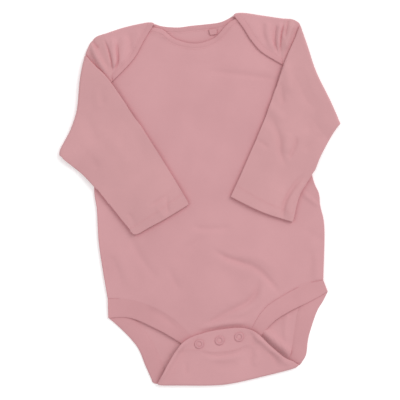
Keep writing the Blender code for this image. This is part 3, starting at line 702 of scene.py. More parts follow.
def sides_and_flap(points, place):
    """The back's free edges: its sides, and those of the flap on top."""
    flap = below_armholes(points) & (points[:, 2] > ABOVE_FRONT)
    return flap | open_sides(points, place)


def all_round(points, place):
    """Every edge free."""
    return np.ones(len(points), bool)


def edge_and_seam(rows, at):
    """The two curves of a bound edge or band: its free edge, and the seam that joins it to a panel."""
    curve = smooth(rows, at)
    return curve[:, :2], curve[:, 2:]


def strip(edge, seam, at):
    """Rows of a band from its free edge to just short of its seam."""
    inner = pulled(seam, edge, SEAM_GAP / 2)
    return edge[:, None] * (1 - at[None, :, None]) + inner[:, None] * at[None, :, None]


def panel_edge(edge, seam):
    """The edge of the panel beside a band, just past their seam."""
    return pulled(seam, edge, -SEAM_GAP / 2)


def shoulder(side, neck_end, inset):
    """The base of a shoulder's fold, from just inside the armhole seam to the neck's end."""
    hole_end = side["armhole"][0][0] + side["inward"] * SEAM_GAP / 2
    return fold_row(side["shoulder"], hole_end, neck_end, LAP_AT, inset)


def armhole(side):
    """The whole armhole seam: beside the lap, across the end of its binding, then down to the underarm."""
    start, end = np.array(side["armhole"][-1]), np.array(side["underarm"][0])
    across_binding = start + (end - start) * even(TIP_CELLS)[1:-1, None]
    return np.vstack([smooth(side["armhole"], UPPER_AT), across_binding, smooth(side["underarm"], LOWER_AT)])


def inside_seam(curve, side):
    """An armhole curve moved inward by half the seam's gap, to where the panel ends."""
    return curve + np.array([side["inward"] * SEAM_GAP / 2, 0])


def body_side(side, at):
    """A panel's whole side edge from the shoulder to the leg band, just inside the armhole seam."""
    return np.vstack([inside_seam(armhole(side), side), smooth(side["side seam"], at)[1:]])


def leg_openings(band):
    """A panel's left and right edges beside its leg bands."""
    return [panel_edge(*edge_and_seam(side[band], LAP_AT)) for side in SIDES]


def line_at(outline, x):
    """The y of a smooth line at each x."""
    curve = smooth(outline, even(OUTLINE_SAMPLES))
    return np.interp(x, curve[:, 0], curve[:, 1])


def fold_row(outline, start, end, at, inset):
    """The base of a fold between two given x: the folded edge's outline moved in by an inset."""
    x = start + (end - start) * at
    return np.column_stack([x, line_at(outline, x) + inset])


def led_to(curve, corner, part):
    """A curve whose last part bends softly away so that it ends at a corner."""
    back = 1 - share(curve)
    return curve + (corner - curve[-1]) * (1 - ramp(back / part))[:, None]


def joined(*curves):
    """Curves end to end as one, each starting where the last one stops."""
    return np.vstack([curves[0]] + [curve[1:] for curve in curves[1:]])


def lap(side, base):
    """A lap of the back panel on top of the front: its rows run from the shoulder's fold to its tip."""
    hole = inside_seam(smooth(side["armhole"], UPPER_AT), side)
    line = panel_edge(*edge_and_seam(side["lap"], UPPER_AT))
    hole[0], line[0] = base[0], base[-1]
    tip = hole[-1] + (line[-1] - hole[-1]) * LAP_AT[:, None]
    return patch(base, tip, hole, line)


def make_back(finish):
    """The back panel: flat on the floor, with both laps and the crotch flap folded over onto the front."""
    neck = panel_edge(*edge_and_seam(BACK_NECK, NECK_AT))
    bases = [shoulder(side, neck[end, 0], -TURN_INSET) for side, end in ENDS]
    neck[0], neck[-1] = bases[0][-1], bases[1][-1]
    top = joined(bases[0], neck, bases[1][::-1])

    legs = leg_openings("leg back")
    fold = fold_row(CROTCH_FOLD, legs[0][-1, 0], legs[1][-1, 0], NECK_AT, TURN_INSET)
    legs[0][-1], legs[1][-1] = fold[0], fold[-1]
    bottom = joined(legs[0], fold, legs[1][::-1])

    edges = [body_side(side, BACK_SIDE_AT) for side in SIDES]
    for edge, end in zip(edges, (0, -1)):
        edge[0], edge[-1] = top[end], bottom[end]
    grids = [lifted(patch(top, bottom, *edges), FLOOR_LAYER)]

    for side, base in zip(SIDES, bases):
        over = lifted(lap(side, base), lap_height)
        shoulder_turn = turn(lifted(base, FLOOR_LAYER), over[0], (0, 1))
        order = side["inward"]
        grids += [shoulder_turn[::-1, ::order], over[::-1, ::order]]

    flap_left, flap_right = [smooth(side["flap"], FLAP_AT) for side in SIDES]
    left_tip = fold_row(CROTCH_FOLD, flap_left[0, 0], fold[0, 0], BAND_AT, TURN_INSET)
    right_tip = fold_row(CROTCH_FOLD, fold[-1, 0], flap_right[0, 0], 1 - BAND_AT[::-1], TURN_INSET)
    start = joined(left_tip, fold, right_tip)
    end = smooth(FLAP_END, share(start))
    flap_left[0], flap_right[0] = start[0], start[-1]
    flap = lifted(patch(start, end, flap_left, flap_right), flap_height)
    along = lengths(start)
    ends = bulge(np.minimum(along, along[-1] - along))[:, None]
    grids += [turn(lifted(start, FLOOR_LAYER), flap[0], ends * (0, -1)), flap]

    piece = cloth("back_cloth", [knitted(grid) for grid in grids], finish, sides_and_flap, swell=back_swell)
    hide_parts("back_panel")
    return piece


def back_swell(points, place):
    """Folds that show through the leg openings, and the doubled end of the flap with its sewn edge."""
    x, y, z = points.T
    above = y - line_at(PLACKET_LINE, x)
    placket = PLACKET_CROWN * ramp(above / PLACKET_STEP + 0.5) * (z > TOP_LAYER - GAP) * (y < 0)
    inside = np.clip(-relief(x, y, INSIDE_CREASES), 0, None) * (z < FRONT_LAYER)
    return placket + inside


def make_front(finish):
    """The front panel, from under the laps to its crotch end under the flap."""
    neck = panel_edge(*edge_and_seam(FRONT_NECK, NECK_AT))
    shoulders = []
    for side, end in ENDS:
        base = shoulder(side, neck[end, 0], -TURN_INSET - FRONT_IN_TURN)
        shoulders.append(led_to(base, neck[end], SHOULDER_LED_PART))
    top = joined(shoulders[0], neck, shoulders[1][::-1])
    legs = leg_openings("leg front")
    crotch = legs[0][-1] + (legs[1][-1] - legs[0][-1]) * NECK_AT[:, None]
    bottom = joined(legs[0], crotch, legs[1][::-1])
    edges = [body_side(side, SIDE_AT) for side in SIDES]
    for edge, end in zip(edges, (0, -1)):
        edge[-1] = bottom[end]
        edge[:TOP_CELLS] = top[end] + (edge[TOP_CELLS] - top[end]) * even(TOP_CELLS)[:-1, None]
    sheet = lifted(patch(top, bottom, *edges), front_height)
    piece = cloth("front_cloth", [knitted(sheet)], finish, sides_and_right_seam)
    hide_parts("front_panel")
    return piece


def crown(height, width):
    """A swell function for a band: a low round back, as a flattened half sine of the place across it."""

    def swell(points, place):
        return height * np.sin(np.pi * np.clip(place[:, 0] / width, 0, 1)) ** CROWN_FLATNESS

    return swell


def outer_half(width):
    """The free edge of a band, by the place across its width."""
    return lambda points, place: place[:, 0] < width / 2


def make_band(name, rows, at, height, crown_height, finish, last=None):
    """A band along an edge, as one sheet that follows the height of what it lies on."""
    edge, seam = edge_and_seam(rows, LAP_AT if at is BAND_AT else NECK_AT)
    flat = strip(edge, seam, at)
    if last is not None:
        flat[-1] = last(flat[-1, 0, 0], flat[-1, -1, 0], at)
    width = np.linalg.norm(seam - edge, axis=1).mean()
    grid = lengthwise(lifted(flat, height))
    return cloth(name, [grid], finish, outer_half(width), swell=crown(crown_height, width))


def make_trim(finish):
    """The front's neck binding and all four leg bands."""
    pieces = [make_band("neck_edge_front", FRONT_NECK, BINDING_AT, front_height, BINDING_CROWN, finish)]
    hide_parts("neck_binding_front")
    for name, side, raised in (("left", LEFT, FLAT_BAND_CROWN), ("right", RIGHT, BAND_CROWN)):
        front = make_band(f"leg_edge_front_{name}", side["leg front"], BAND_AT, front_height, raised, finish)
        rows, raised = side["leg back"], INSIDE_BAND_CROWN
        back = make_band(f"leg_edge_back_{name}", rows, BAND_AT, FLOOR_LAYER, raised, finish, crotch_end)
        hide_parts(f"leg_band_front_{name}")
        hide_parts(f"leg_band_back_{name}")
        pieces += [front, back]
    return pieces


def crotch_end(start, end, at):
    """The end row of a back leg band: clear of the crotch fold, and round the corner outside the flap."""
    x = start + (end - start) * at
    inside = np.minimum(x - LEFT["flap"][0][0], RIGHT["flap"][0][0] - x)
    clear = (TURN_INSET + GAP - CORNER_INSET) * ramp(inside / CORNER_STEP + 1)
    return fold_row(CROTCH_FOLD, start, end, at, CORNER_INSET + clear)


def make_back_binding(finish):
    """The binding of the back neck, which goes on over both folds and down the laps' edges."""
    neck = strip(*edge_and_seam(BACK_NECK, NECK_AT), BINDING_AT)
    for side, end in ENDS:
        neck[end] = fold_row(side["shoulder"], neck[end, 0, 0], neck[end, -1, 0], BINDING_AT, -TURN_INSET)
    back = lifted(neck, FLOOR_LAYER)
    grids = [lengthwise(back)]
    for side, end in ENDS:
        over = strip(*edge_and_seam(side["lap"], UPPER_AT), BINDING_AT)
        over[0] = neck[end]
        over = lifted(over, lap_height)
        fold = turn(back[end], over[0], bulge(lengths(neck[end]))[:, None] * (0, 1))
        order = -side["inward"]
        grids += [lengthwise(fold[::order]), lengthwise(over[::order])]
    raised = crown(BINDING_CROWN, BINDING_WIDTH)
    piece = cloth("neck_edge_back", grids, finish, outer_half(BINDING_WIDTH), swell=raised)
    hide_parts("neck_binding_back")
    return piece


def sleeve_tube(centre, normal, half):
    """Each station's loop of points: one wall, a half-round edge, the other wall, a half-round edge. Beside
    the shoulder seam the edge bulges as the body's fold does."""
    walls = [centre + normal * half[..., None], centre - normal * half[..., None]]
    seam_blend = ramp(np.arange(len(centre)) / SEAM_STATIONS)[:, None]
    edges = []
    for column, inner, sign in ((-1, -2, 1), (0, 1, -1)):
        outward = unit(centre[:, column] - centre[:, inner])
        if column == 0:
            outward = outward * seam_blend + np.array([0, 1.0, 0]) * (1 - seam_blend)
        angle = np.pi * np.arange(1, EDGE_CELLS)[None, :, None] / EDGE_CELLS
        along = normal[:, None, column] * np.cos(angle) * sign + outward[:, None] * np.sin(angle)
        edges.append(centre[:, None, column] + along * half[:, column, None, None])
    return np.hstack([walls[0], edges[0], walls[1][:, ::-1], edges[1]])


def tube_along(tube):
    """Each station's distance from the cuff, along the sleeve."""
    return run(tube[::-1], 0)[::-1]


def tube_place(tube, columns):
    """Places in the knitting for a tube: across it, the same on both walls, and along it from the cuff."""
    wall = run(tube[:, :columns], 1)
    bend = np.full(EDGE_CELLS - 1, wall[-1])
    across = np.concatenate([wall, bend, wall[::-1], np.zeros(EDGE_CELLS - 1)])
    return mapped(tube, across, tube_along(tube))


def sleeve_plans(side, seam, flip):
    """The sleeve seen from above, as a patch from the armhole to the fold and one from there to the cuff. The
    fold's base is its outline moved in, towards the seam in its middle and along the edges at its corners."""
    at = share(seam)
    reach = SLEEVE_HALF + WALL / 2
    parts = ("over", "fold", "under", "top", "bottom", "cuff")
    curves = {part: np.array(side[part]) * flip for part in parts}
    fold = smooth(curves["fold"], at)
    along = lengths(fold)
    at_top = FOLD_LEAN[0] * (1 - ramp(along / FOLD_CORNER))[:, None]
    at_bottom = FOLD_LEAN[1] * (1 - ramp((along[-1] - along) / FOLD_CORNER))[:, None]
    towards_top = unit(curves["top"][LEAN_POINTS[0]] - fold[0])
    towards_bottom = unit(curves["bottom"][LEAN_POINTS[1]] - fold[-1])
    to_seam = unit(seam - fold) * (1 - at_top - at_bottom)
    inward = unit(to_seam + towards_top * at_top + towards_bottom * at_bottom)
    base = fold + inward * (SLEEVE_RISE / 2 + reach)
    over, under = smooth(curves["over"], ARM_AT), smooth(curves["under"], ARM_AT)
    over[0], over[-1], under[0], under[-1] = seam[0], base[0], seam[-1], base[-1]
    upper = patch(over, under, seam, base).transpose(1, 0, 2)
    top_line, bottom_line = smooth(curves["top"], FOREARM_AT), smooth(curves["bottom"], FOREARM_AT)
    top = led_to(pulled(top_line, bottom_line, reach)[::-1], base[0], LED_PART)[::-1]
    bottom = led_to(pulled(bottom_line, top_line, reach)[::-1], base[-1], LED_PART)[::-1]
    cuff = smooth(curves["cuff"], at)
    cuff[0], cuff[-1] = top[-1], bottom[-1]
    lower = patch(top, bottom, base, cuff).transpose(1, 0, 2)
    return upper, lower, -inward


def lying_height(flat, side, flip):
    """Middle of the folded sleeve's lower wall: clear of the front's loft and of the lap's tip, and down to
    the floor by a soft ramp of the distance outside the body."""
    x, y = flat[..., 0] * flip[0], flat[..., 1]
    tip_x, tip_y = side["lap tip"]
    near_tip = ramp(1 - np.hypot(x - tip_x, y - tip_y) / LAP_LIFT_REACH)
    underarm, corner = np.array(side["under"]) * flip
    line = (corner - underarm) / np.linalg.norm(corner - underarm)
    below = (flat[..., 0] - underarm[0]) * -line[1] + (flat[..., 1] - underarm[1]) * line[0]
    beside = side["body edge"] * flip[0] - flat[..., 0]
    outside = np.minimum(below, beside)
    drop = SLEEVE_RISE * ramp((outside - SLEEVE_DROP_START) / SLEEVE_DROP_RUN)
    return FLOOR_LAYER + SLEEVE_RISE + loft(x, y) + LAP_LIFT * near_tip - drop


def sleeve_on_floor(side, flat, flip):
    """Middle and half thickness of the sleeve's stretch on the floor: as high as the lap or the front where
    it starts at the armhole, and thinner towards the fold."""
    x, y = flat[..., 0] * flip[0], flat[..., 1]
    beside_lap = ramp((y - side["lap tip"][1]) / LAP_END_RUN + 1)
    panel = beside_lap * lap_height(x, y) + (1 - beside_lap) * front_height(x, y)
    raised = (1 - ramp(ARM_AT))[:, None] * (panel - FLOOR_LAYER - 2 * SLEEVE_HALF)
    folds = relief(x, y, SHOULDER_CREASES) * ramp(SHOULDER_FADE * ARM_AT)[:, None]
    half = SLEEVE_HALF + soft(raised - folds) / 2
    return lifted(flat, FLOOR_LAYER + half), half


def sleeve_on_front(side, flat, flip, across):
    """Middle and half thickness of the sleeve's stretch on the front: fullest in its middle, by a sine along
    it and a sine across it, with creases that fade at both edges."""
    puff = np.sin(np.pi * SLEEVE_LOFT_PART * FOREARM_AT)[:, None] * np.sin(np.pi * across)
    x, y = flat[..., 0] * flip[0], flat[..., 1]
    edge_fade = ramp(np.minimum(across, 1 - across) * EDGE_FADE)
    pressed = (relief(x, y, SLEEVE_CREASES) - waves(x, y)) * edge_fade
    half = SLEEVE_HALF + soft(2 * SLEEVE_LOFT * puff - pressed) / 2 - soft(0) / 2
    return lifted(flat, lying_height(flat, side, flip) + half), half


def make_sleeve(name, side, finish):
    """A flat sleeve tube: out from the armhole, round the fold as a half circle, and back over the front to
    the cuff. The right sleeve is worked out as a left one and mirrored."""
    mirror = side["inward"]
    flip = np.array([mirror, 1.0])
    seam = armhole(side) * flip - np.array([SEAM_GAP / 2, 0])
    floor_flat, front_flat, outward = sleeve_plans(side, seam, flip)
    floor_centre, floor_half = sleeve_on_floor(side, floor_flat, flip)
    front_centre, front_half = sleeve_on_front(side, front_flat, flip, share(seam))

    up = np.array([0.0, 0.0, 1.0])
    away = np.column_stack([outward, np.zeros(len(outward))])
    step = np.arange(1, TURN_CELLS)[:, None] / TURN_CELLS
    angle = np.pi * np.arange(1, TURN_CELLS)[:, None, None] / TURN_CELLS
    low, high = floor_centre[-1], front_centre[0]
    rise = (1 - np.cos(angle)) / 2
    bend = low + (high - low) * rise + away * SLEEVE_RISE / 2 * np.sin(angle)
    bend_half = floor_half[-1] * (1 - step) + front_half[0] * step
    bend_normal = np.broadcast_to(up * np.cos(angle) - away * np.sin(angle), bend.shape)
    floor_normal = np.broadcast_to(up, floor_centre.shape)
    front_normal = np.broadcast_to(-up, front_centre.shape)
    centre = np.vstack([floor_centre, bend, front_centre])
    normal = np.vstack([floor_normal, bend_normal, front_normal])
    tube = sleeve_tube(centre, normal, np.vstack([floor_half, bend_half, front_half]))
    tube[..., 0] *= mirror

    def hem(points, place):
        return HEM_SWELL * ramp((HEM_DEPTH - place[:, 1]) / HEM_STEP)

    def cuff(points, place):
        return place[:, 1] < HEM_DEPTH

    grids = [tube_place(tube, len(seam))]
    piece = cloth(f"sleeve_cloth_{name}", grids, finish, cuff, closed=True, swell=hem)
    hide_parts(f"sleeve_{name}")
    return piece, hem_rows(tube, len(seam))


def hem_rows(tube, columns):
    """The two rows along which a cuff's hem is sewn, on the sleeve's upper wall."""
    from_cuff = tube_along(tube)
    first = columns + EDGE_CELLS - 1
    top_wall = tube[:, first : first + columns] + np.array([0, 0, WALL / 2 + HEM_SWELL / 2])
    distances = (HEM_DEPTH, HEM_DEPTH - HEM_ROWS)
    return [top_wall[np.abs(from_cuff - distance).argmin()][CUFF_SHOWN] for distance in distances]


def skin(rows, beside):
    """Four-sided faces between rows of point numbers and the rows beside them."""
    return np.stack([rows[:, :-1], rows[:, 1:], beside[:, 1:], beside[:, :-1]], -1).reshape(-1, 4)


def turned(x, y, radius, height):
    """A grid of points round an upright axis: the heights at the radii, carried round in even steps."""
    angle = np.linspace(0, 2 * np.pi, RING_SEGMENTS, endpoint=False)[:, None]
    flat = (x + np.cos(angle) * radius, y + np.sin(angle) * radius)
    return np.stack([*flat, np.broadcast_to(height, flat[0].shape)], -1)


def make_snaps(finish, centre_finish):
    """Ring snaps on the flap, each a rounded ring turned about its middle, with the cloth domed in its hole:
    the ring's height is a flattened half sine across its width, and the dome's is a quarter of a cosine."""
    outer, inner = SNAP_DIAMETER / 2, SNAP_HOLE / 2
    bend = np.linspace(0, np.pi, RING_STATIONS)
    middle, half_width = (outer + inner) / 2, (outer - inner) / 2
    over = [middle + half_width * np.cos(bend), SNAP_HEIGHT * np.sin(bend) ** SNAP_FLATNESS]
    foot = [(inner + FOOT_INSET, -FOOT_DEPTH), (outer - FOOT_INSET, -FOOT_DEPTH)]
    profile = np.vstack([np.column_stack(over), foot])
    index = np.arange(RING_SEGMENTS * len(profile)).reshape(RING_SEGMENTS, len(profile))
    ahead = np.roll(index, -1, axis=0)
    ring_faces = [index, ahead, np.roll(ahead, -1, axis=1), np.roll(index, -1, axis=1)]
    ring_faces = np.stack(ring_faces, -1).reshape(-1, 4).tolist()
    radius = np.linspace(DOME_START, inner + DOME_UNDER_RING, DOME_RINGS)
    dome = DOME_HEIGHT * np.cos(np.pi / 2 * radius / radius[-1])
    disc = np.arange(RING_SEGMENTS * DOME_RINGS).reshape(RING_SEGMENTS, DOME_RINGS)
    ends = [disc[:, 0].tolist(), disc[::-1, -1].tolist()]
    dome_faces = skin(disc, np.roll(disc, -1, axis=0)).tolist() + ends
    rings, centres = [], []
    for name, x, y in SNAPS:
        below = flap_height(np.array([x + outer, x - outer]), np.array([y, y])).mean()
        seat = below + WALL / 2 + PLACKET_CROWN
        ring = turned(x, y, profile[:, 0], seat + SNAP_SEAT + profile[:, 1]).reshape(-1, 3)
        rings.append(solid(f"ring_snap_{name}", ring, ring_faces, finish))
        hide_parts(f"snap_{name}")
        cap = turned(x, y, radius, seat + DOME_SEAT + dome).reshape(-1, 3)
        centres.append(solid(f"snap_centre_{name}", cap, dome_faces, centre_finish, cap[:, :2]))
    return rings, centres


def make_tab(finish):
    """The small plain loop on the inside of the back neck: a flat strip that narrows towards its lower end,
    by the fourth power of the distance along it."""
    at = closer(TAB_CELLS, TAB_LENGTH, start=True, end=True)
    narrowing = 1 - TAB_TAPER * at[:, None] ** 4
    x = TAB_PLACE[0] + (at[None, :] - 0.5) * TAB_WIDTH * narrowing
    y = TAB_PLACE[1] - (at[:, None] - 0.5) * TAB_LENGTH
    flat = np.stack(np.broadcast_arrays(x, y), axis=-1)
    piece = cloth("neck_loop", [knitted(lifted(flat, FRONT_LAYER))], finish, all_round)
    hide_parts("neck_tab")
    return piece


def stitches(curve):
    """Rings of points for a row of stitches along a curve in space: at every pitch a short bar of thread
    that follows the curve, thinnest at its ends, where it dips into the cloth."""
    along = lengths(curve)
    centres = np.arange(STITCH_PITCH / 2, along[-1], STITCH_PITCH)
    t = np.linspace(-1, 1, STITCH_STATIONS)
    places = centres[:, None] + t * STITCH_LENGTH / 2
    spine = np.stack([np.interp(places, along, column) for column in curve.T], axis=-1)
    spine[..., 2] += THREAD_RADIUS * (THREAD_STANDS - THREAD_DIPS * t**4)
    ahead = unit(spine[:, -1] - spine[:, 0])
    side = np.column_stack([-ahead[:, 1], ahead[:, 0], np.zeros(len(ahead))])
    angle = np.linspace(0, 2 * np.pi, THREAD_SIDES, endpoint=False)[:, None]
    ring = side[:, None, None] * np.cos(angle) + np.array([0, 0, 1.0]) * np.sin(angle)
    return spine[:, :, None] + ring * (THREAD_RADIUS * np.sqrt(THREAD_BLUNTNESS - t**4))[:, None, None]


def make_sewing(name, rows, finish):
    """One piece of sewing from several rows of stitches."""
    rings = np.vstack([stitches(row) for row in rows])
    index = np.arange(rings[..., 0].size).reshape(rings.shape[:3])
    caps = np.vstack([index[:, 0], index[:, -1, ::-1]])
    faces = skin(index, np.roll(index, -1, axis=2)).tolist() + caps.tolist()
    return solid(name, rings.reshape(-1, 3), faces, finish)


def on_top(curve, height, extra=0.0):
    """A flat curve laid on the upper face of a cloth whose middle has this height."""
    raised = lifted(curve, height)
    raised[:, 2] += WALL / 2 + extra
    return raised


def beside_seam(rows, distance, at):
    """A line at a distance from a band's seam, towards its free edge if positive."""
    edge, seam = edge_and_seam(rows, at)
    return pulled(seam, edge, distance)


def make_stitches(hems, finish):
    """All the stitching that shows: along the bindings, the bands, the flap's doubled end and the cuffs."""
    at = even(OUTLINE_SAMPLES)
    placket = smooth(PLACKET_LINE, at)[PLACKET_SHOWN] + np.array([0, PLACKET_ROW])
    laps = [beside_seam(side["lap"], BINDING_ROW, at)[LAP_SHOWN] for side in SIDES]
    rows = {
        "front": [
            on_top(beside_seam(FRONT_NECK, BINDING_ROW, at), front_height),
            on_top(beside_seam(RIGHT["leg front"], BAND_ROW, at)[FRONT_LEG_SHOWN], front_height),
        ],
        "back": [
            on_top(beside_seam(BACK_NECK, BINDING_ROW, at)[BACK_NECK_SHOWN], FLOOR_LAYER),
            *[on_top(row, lap_height) for row in laps],
            on_top(placket, flap_height, PLACKET_CROWN),
        ],
        "cuff_left": hems["left"],
        "cuff_right": hems["right"],
    }
    return {place: make_sewing(f"stitches_{place}", lines, finish) for place, lines in rows.items()}


def linear(code):
    """A colour given as an sRGB hex code, in linear light."""
    parts = np.array([int(code[k : k + 2], 16) for k in (1, 3, 5)]) / 255
    return (*np.where(parts <= 0.04045, parts / 12.92, ((parts + 0.055) / 1.055) ** 2.4), 1.0)


def fill(tree, target, inputs):
    """Gives each input of a node its value, or links it from a socket or from a node's first output."""
    for slot, value in dict(inputs).items():
        if isinstance(value, bpy.types.Node):
            value = value.outputs[0]
        if isinstance(value, bpy.types.NodeSocket):
            tree.links.new(value, target.inputs[slot])
        else:
            target.inputs[slot].default_value = value


def node(tree, kind, inputs=(), **settings):
    """One node with its settings and inputs."""
    new = tree.nodes.new(kind)
    for name, value in settings.items():
        setattr(new, name, value)
    fill(tree, new, inputs)
    return new


def blank(name):
    """A new material with its node tree and shader."""
    finish = bpy.data.materials.new(name)
    finish.use_nodes = True
    return finish, finish.node_tree, finish.node_tree.nodes["Principled BSDF"]


# The kinds of node that are used more than once, and the sockets of a colour mix
MATH = "ShaderNodeMath"
NOISE = "ShaderNodeTexNoise"
RANGE = "ShaderNodeMapRange"
MIX = "ShaderNodeMix"
PLACES = "ShaderNodeTexCoord"
BUMP = "ShaderNodeBump"
FACTOR, FIRST, SECOND, MIXED = 0, 6, 7, 2

# The knit: how high a loop stands against its column, how deep in metres its bumps are, how much finer fuzz
# counts in its tone, and the sums of noise that are darkest and lightest
LOOP_SHARE = 0.16
KNIT_DEPTH = 0.0002
FUZZ_SHARE = 0.35
TONE_LOW, TONE_HIGH = 0.35, 1.0

# Painted shade: where ambient occlusion finds the cloth shut in between layers, a redder, darker colour is
# painted into its base colour, for light that has met the pink cloth more than once. The columns are that
# colour, the depth in metres over which openness is judged, the openness at which it shows in full, and its
# share there
PAINTED_SHADE_COLOUR = "#d67a86"
DEPTH_REACH = 0.006
PAINTED_SHADE_AT = 0.3
PAINTED_SHADE_SHARE = 0.3


def knit(name, colour, shade, wale=0.85, course=0.7, bump=0.22, upright=0):
    """Knitted cotton. Interlock looks smooth, with fine upright columns of loops: wale is the spacing of the
    columns and course that of the loops, in millimetres, and upright is the direction of the piece's own map
    across which the columns stand. Its colour is a little uneven from dyeing and washing, in patches of
    about 45 mm with fuzz of about 1 mm, and its matt, slightly fuzzy surface gives a soft light edge. The
    columns and loops are near their real size, and the fuzz is drawn coarser than real fibres so that it
    shows."""
    finish, tree, shader = blank(name)
    place = node(tree, "ShaderNodeSeparateXYZ", {0: node(tree, "ShaderNodeUVMap", uv_map="knit")})
    columns = node(tree, MATH, {0: place.outputs[upright], 1: 1 / (wale * MM)}, operation="MULTIPLY")
    loops = node(tree, MATH, {0: place.outputs[1 - upright], 1: 1 / (course * MM)}, operation="MULTIPLY")
    side = node(tree, MATH, {0: columns, 1: 0.5}, operation="PINGPONG")
    slant = node(tree, MATH, {0: side, 1: loops}, operation="ADD")
    slant = node(tree, MATH, {0: slant, 1: 2 * np.pi}, operation="MULTIPLY")
    loop = node(tree, MATH, {0: slant}, operation="SINE")
    column = node(tree, MATH, {0: side, 1: np.pi}, operation="MULTIPLY")
    rib = node(tree, MATH, {0: column}, operation="SINE")
    height = node(tree, MATH, {0: loop, 1: LOOP_SHARE, 2: rib}, operation="MULTIPLY_ADD")

    body = node(tree, PLACES).outputs["Object"]
    cloudy = node(tree, NOISE, {"Vector": body, "Scale": 22.0, "Detail": 3.0})
    fuzzy = node(tree, NOISE, {"Vector": body, "Scale": 900.0, "Detail": 2.0})
    mixed = node(tree, MATH, {0: fuzzy, 1: FUZZ_SHARE, 2: cloudy}, operation="MULTIPLY_ADD")
    tone = node(tree, RANGE, {"Value": mixed, "From Min": TONE_LOW, "From Max": TONE_HIGH})
    dyed = node(tree, MIX, {FACTOR: tone, FIRST: linear(shade), SECOND: linear(colour)}, data_type="RGBA")
    # Painted shade: ambient occlusion finds where the cloth lies shut in between layers, and a redder, darker
    # colour is mixed into the base colour there
    open_sky = node(tree, "ShaderNodeAmbientOcclusion", {"Distance": DEPTH_REACH}, samples=8).outputs["AO"]
    painted_shade_range = {"Value": open_sky, "From Min": 1.0, "From Max": PAINTED_SHADE_AT, "To Min": 0.0, "To Max": PAINTED_SHADE_SHARE}
    painted_shade_mix = {FACTOR: node(tree, RANGE, painted_shade_range), FIRST: dyed.outputs[MIXED], SECOND: linear(PAINTED_SHADE_COLOUR)}
    ribbed = node(tree, BUMP, {"Strength": bump, "Distance": KNIT_DEPTH, "Height": height})
    lint = {"Strength": 0.3, "Distance": KNIT_DEPTH, "Height": fuzzy, "Normal": ribbed}
    looks = {
        "Base Color": node(tree, MIX, painted_shade_mix, data_type="RGBA").outputs[MIXED],
        "Normal": node(tree, BUMP, lint),
        "Roughness": 0.92,
        "Specular IOR Level": 0.25,
        "Sheen Weight": 0.18,
        "Sheen Roughness": 0.5,
        "Sheen Tint": linear("#f6dcdc"),
    }
    fill(tree, shader, looks)
    return finish


def enamel(name, colour, dark):
    """Enamelled brass, as on the ring of a snap: smooth baked paint that shines softly, a little uneven in
    spots of about 2.4 mm."""
    finish, tree, shader = blank(name)
    body = node(tree, PLACES).outputs["Object"]
    spots = node(tree, NOISE, {"Vector": body, "Scale": 420.0, "Detail": 3.0})
    tone = node(tree, MIX, {FACTOR: spots, FIRST: linear(dark), SECOND: linear(colour)}, data_type="RGBA")
    looks = {
        "Base Color": tone.outputs[MIXED],
        "Roughness": 0.45,
        "Coat Weight": 0.1,
        "Coat Roughness": 0.3,
    }
    fill(tree, shader, looks)
    return finish


def thread(name, colour):
    """Spun polyester sewing thread, matt and near the cloth's colour, with the twist of its plies as bumps
    of about 0.4 mm."""
    finish, tree, shader = blank(name)
    body = node(tree, PLACES).outputs["Object"]
    twist = node(tree, NOISE, {"Vector": body, "Scale": 2500.0, "Detail": 1.0})
    bump = node(tree, BUMP, {"Strength": 0.4, "Distance": 0.0001, "Height": twist})
    fill(tree, shader, {"Base Color": linear(colour), "Roughness": 0.7, "Normal": bump})
    return finish


def light_table(name):
    """Opal acrylic, lit faintly from below, which keeps the shadows on it light."""
    finish, tree, shader = blank(name)
    looks = {
        "Base Color": (0.93, 0.93, 0.93, 1.0),
        "Roughness": 0.9,
        "Emission Color": (1.0, 1.0, 1.0, 1.0),
        "Emission Strength": 0.16,
    }
    fill(tree, shader, looks)
    return finish


# The camera: straight above, the garment turned a little in the picture; sizes in metres
VIEW_WIDTH = 0.416
VIEW_TURN = 6.0
VIEW_MIDDLE = (-0.006266, 0.002218)
VIEW_HEIGHT = 0.004
LENS = 150.0
SENSOR = 36.0

# Lights, columns name, place x, y, z in metres, width, watts
LIGHTS = [
    ("key", (3.1, 2.3, 3.5), 3.2, 132.0),
    ("fill", (-3.0, -0.8, 4.0), 3.0, 36.0),
]
SKY = 0.7
FLOOR_DROP = -0.0004
FLOOR_REACH = 3.0


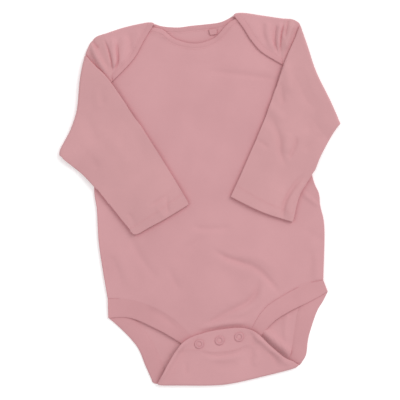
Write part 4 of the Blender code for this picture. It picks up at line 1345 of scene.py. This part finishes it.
def make_camera():
    """Looks straight down at the middle of the picture, as wide as the picture at the garment's height."""
    data = bpy.data.cameras.new("camera")
    data.sensor_width = SENSOR
    data.lens = LENS
    camera = placed("camera", data)
    distance = VIEW_WIDTH * LENS / SENSOR
    camera.location = (*VIEW_MIDDLE, VIEW_HEIGHT + distance)
    camera.rotation_euler = (0, 0, -np.radians(VIEW_TURN))
    bpy.context.scene.camera = camera


def make_stage():
    """A pale floor, two broad soft lights and an even sky."""
    mesh = bpy.data.meshes.new("floor")
    signs = ((-1, -1), (1, -1), (1, 1), (-1, 1))
    corners = [(x * FLOOR_REACH, y * FLOOR_REACH, FLOOR_DROP) for x, y in signs]
    mesh.from_pydata(corners, [], [(0, 1, 2, 3)])
    mesh.materials.append(light_table("white acrylic light table"))
    placed("floor", mesh)
    for name, place, width, watts in LIGHTS:
        data = bpy.data.lights.new(name, "AREA")
        data.size = width
        data.energy = watts
        light = placed(name, data)
        light.location = place
        light.rotation_euler = (-Vector(place)).to_track_quat("-Z", "Y").to_euler()
    world = bpy.data.worlds.new("studio")
    world.use_nodes = True
    fill(world.node_tree, world.node_tree.nodes["Background"], {"Color": (1, 1, 1, 1), "Strength": SKY})
    bpy.context.scene.world = world
    bpy.context.scene.view_settings.view_transform = "Standard"


def main():
    """The whole scene: camera, stage, materials, and every piece with its material."""
    make_camera()
    make_stage()
    body = knit("cotton interlock body", "#cc999d", "#c39195")
    arm = knit("cotton interlock sleeve", "#cb999c", "#c19194")
    trim = knit("cotton rib trim", "#ca969a", "#c08d91", wale=1.0, course=0.8, bump=0.3, upright=1)
    back, front = make_back(body), make_front(body)
    back_edge = make_back_binding(trim)
    front_edge, *bands = make_trim(trim)
    sleeves, hems = {}, {}
    for name, side in (("left", LEFT), ("right", RIGHT)):
        sleeves[name], hems[name] = make_sleeve(name, side, arm)
    rings, centres = make_snaps(enamel("enamelled brass", "#c68f94", "#bb848a"), body)
    loop = make_tab(trim)
    sewing = make_stitches(hems, thread("polyester thread", "#cb989c"))


main()
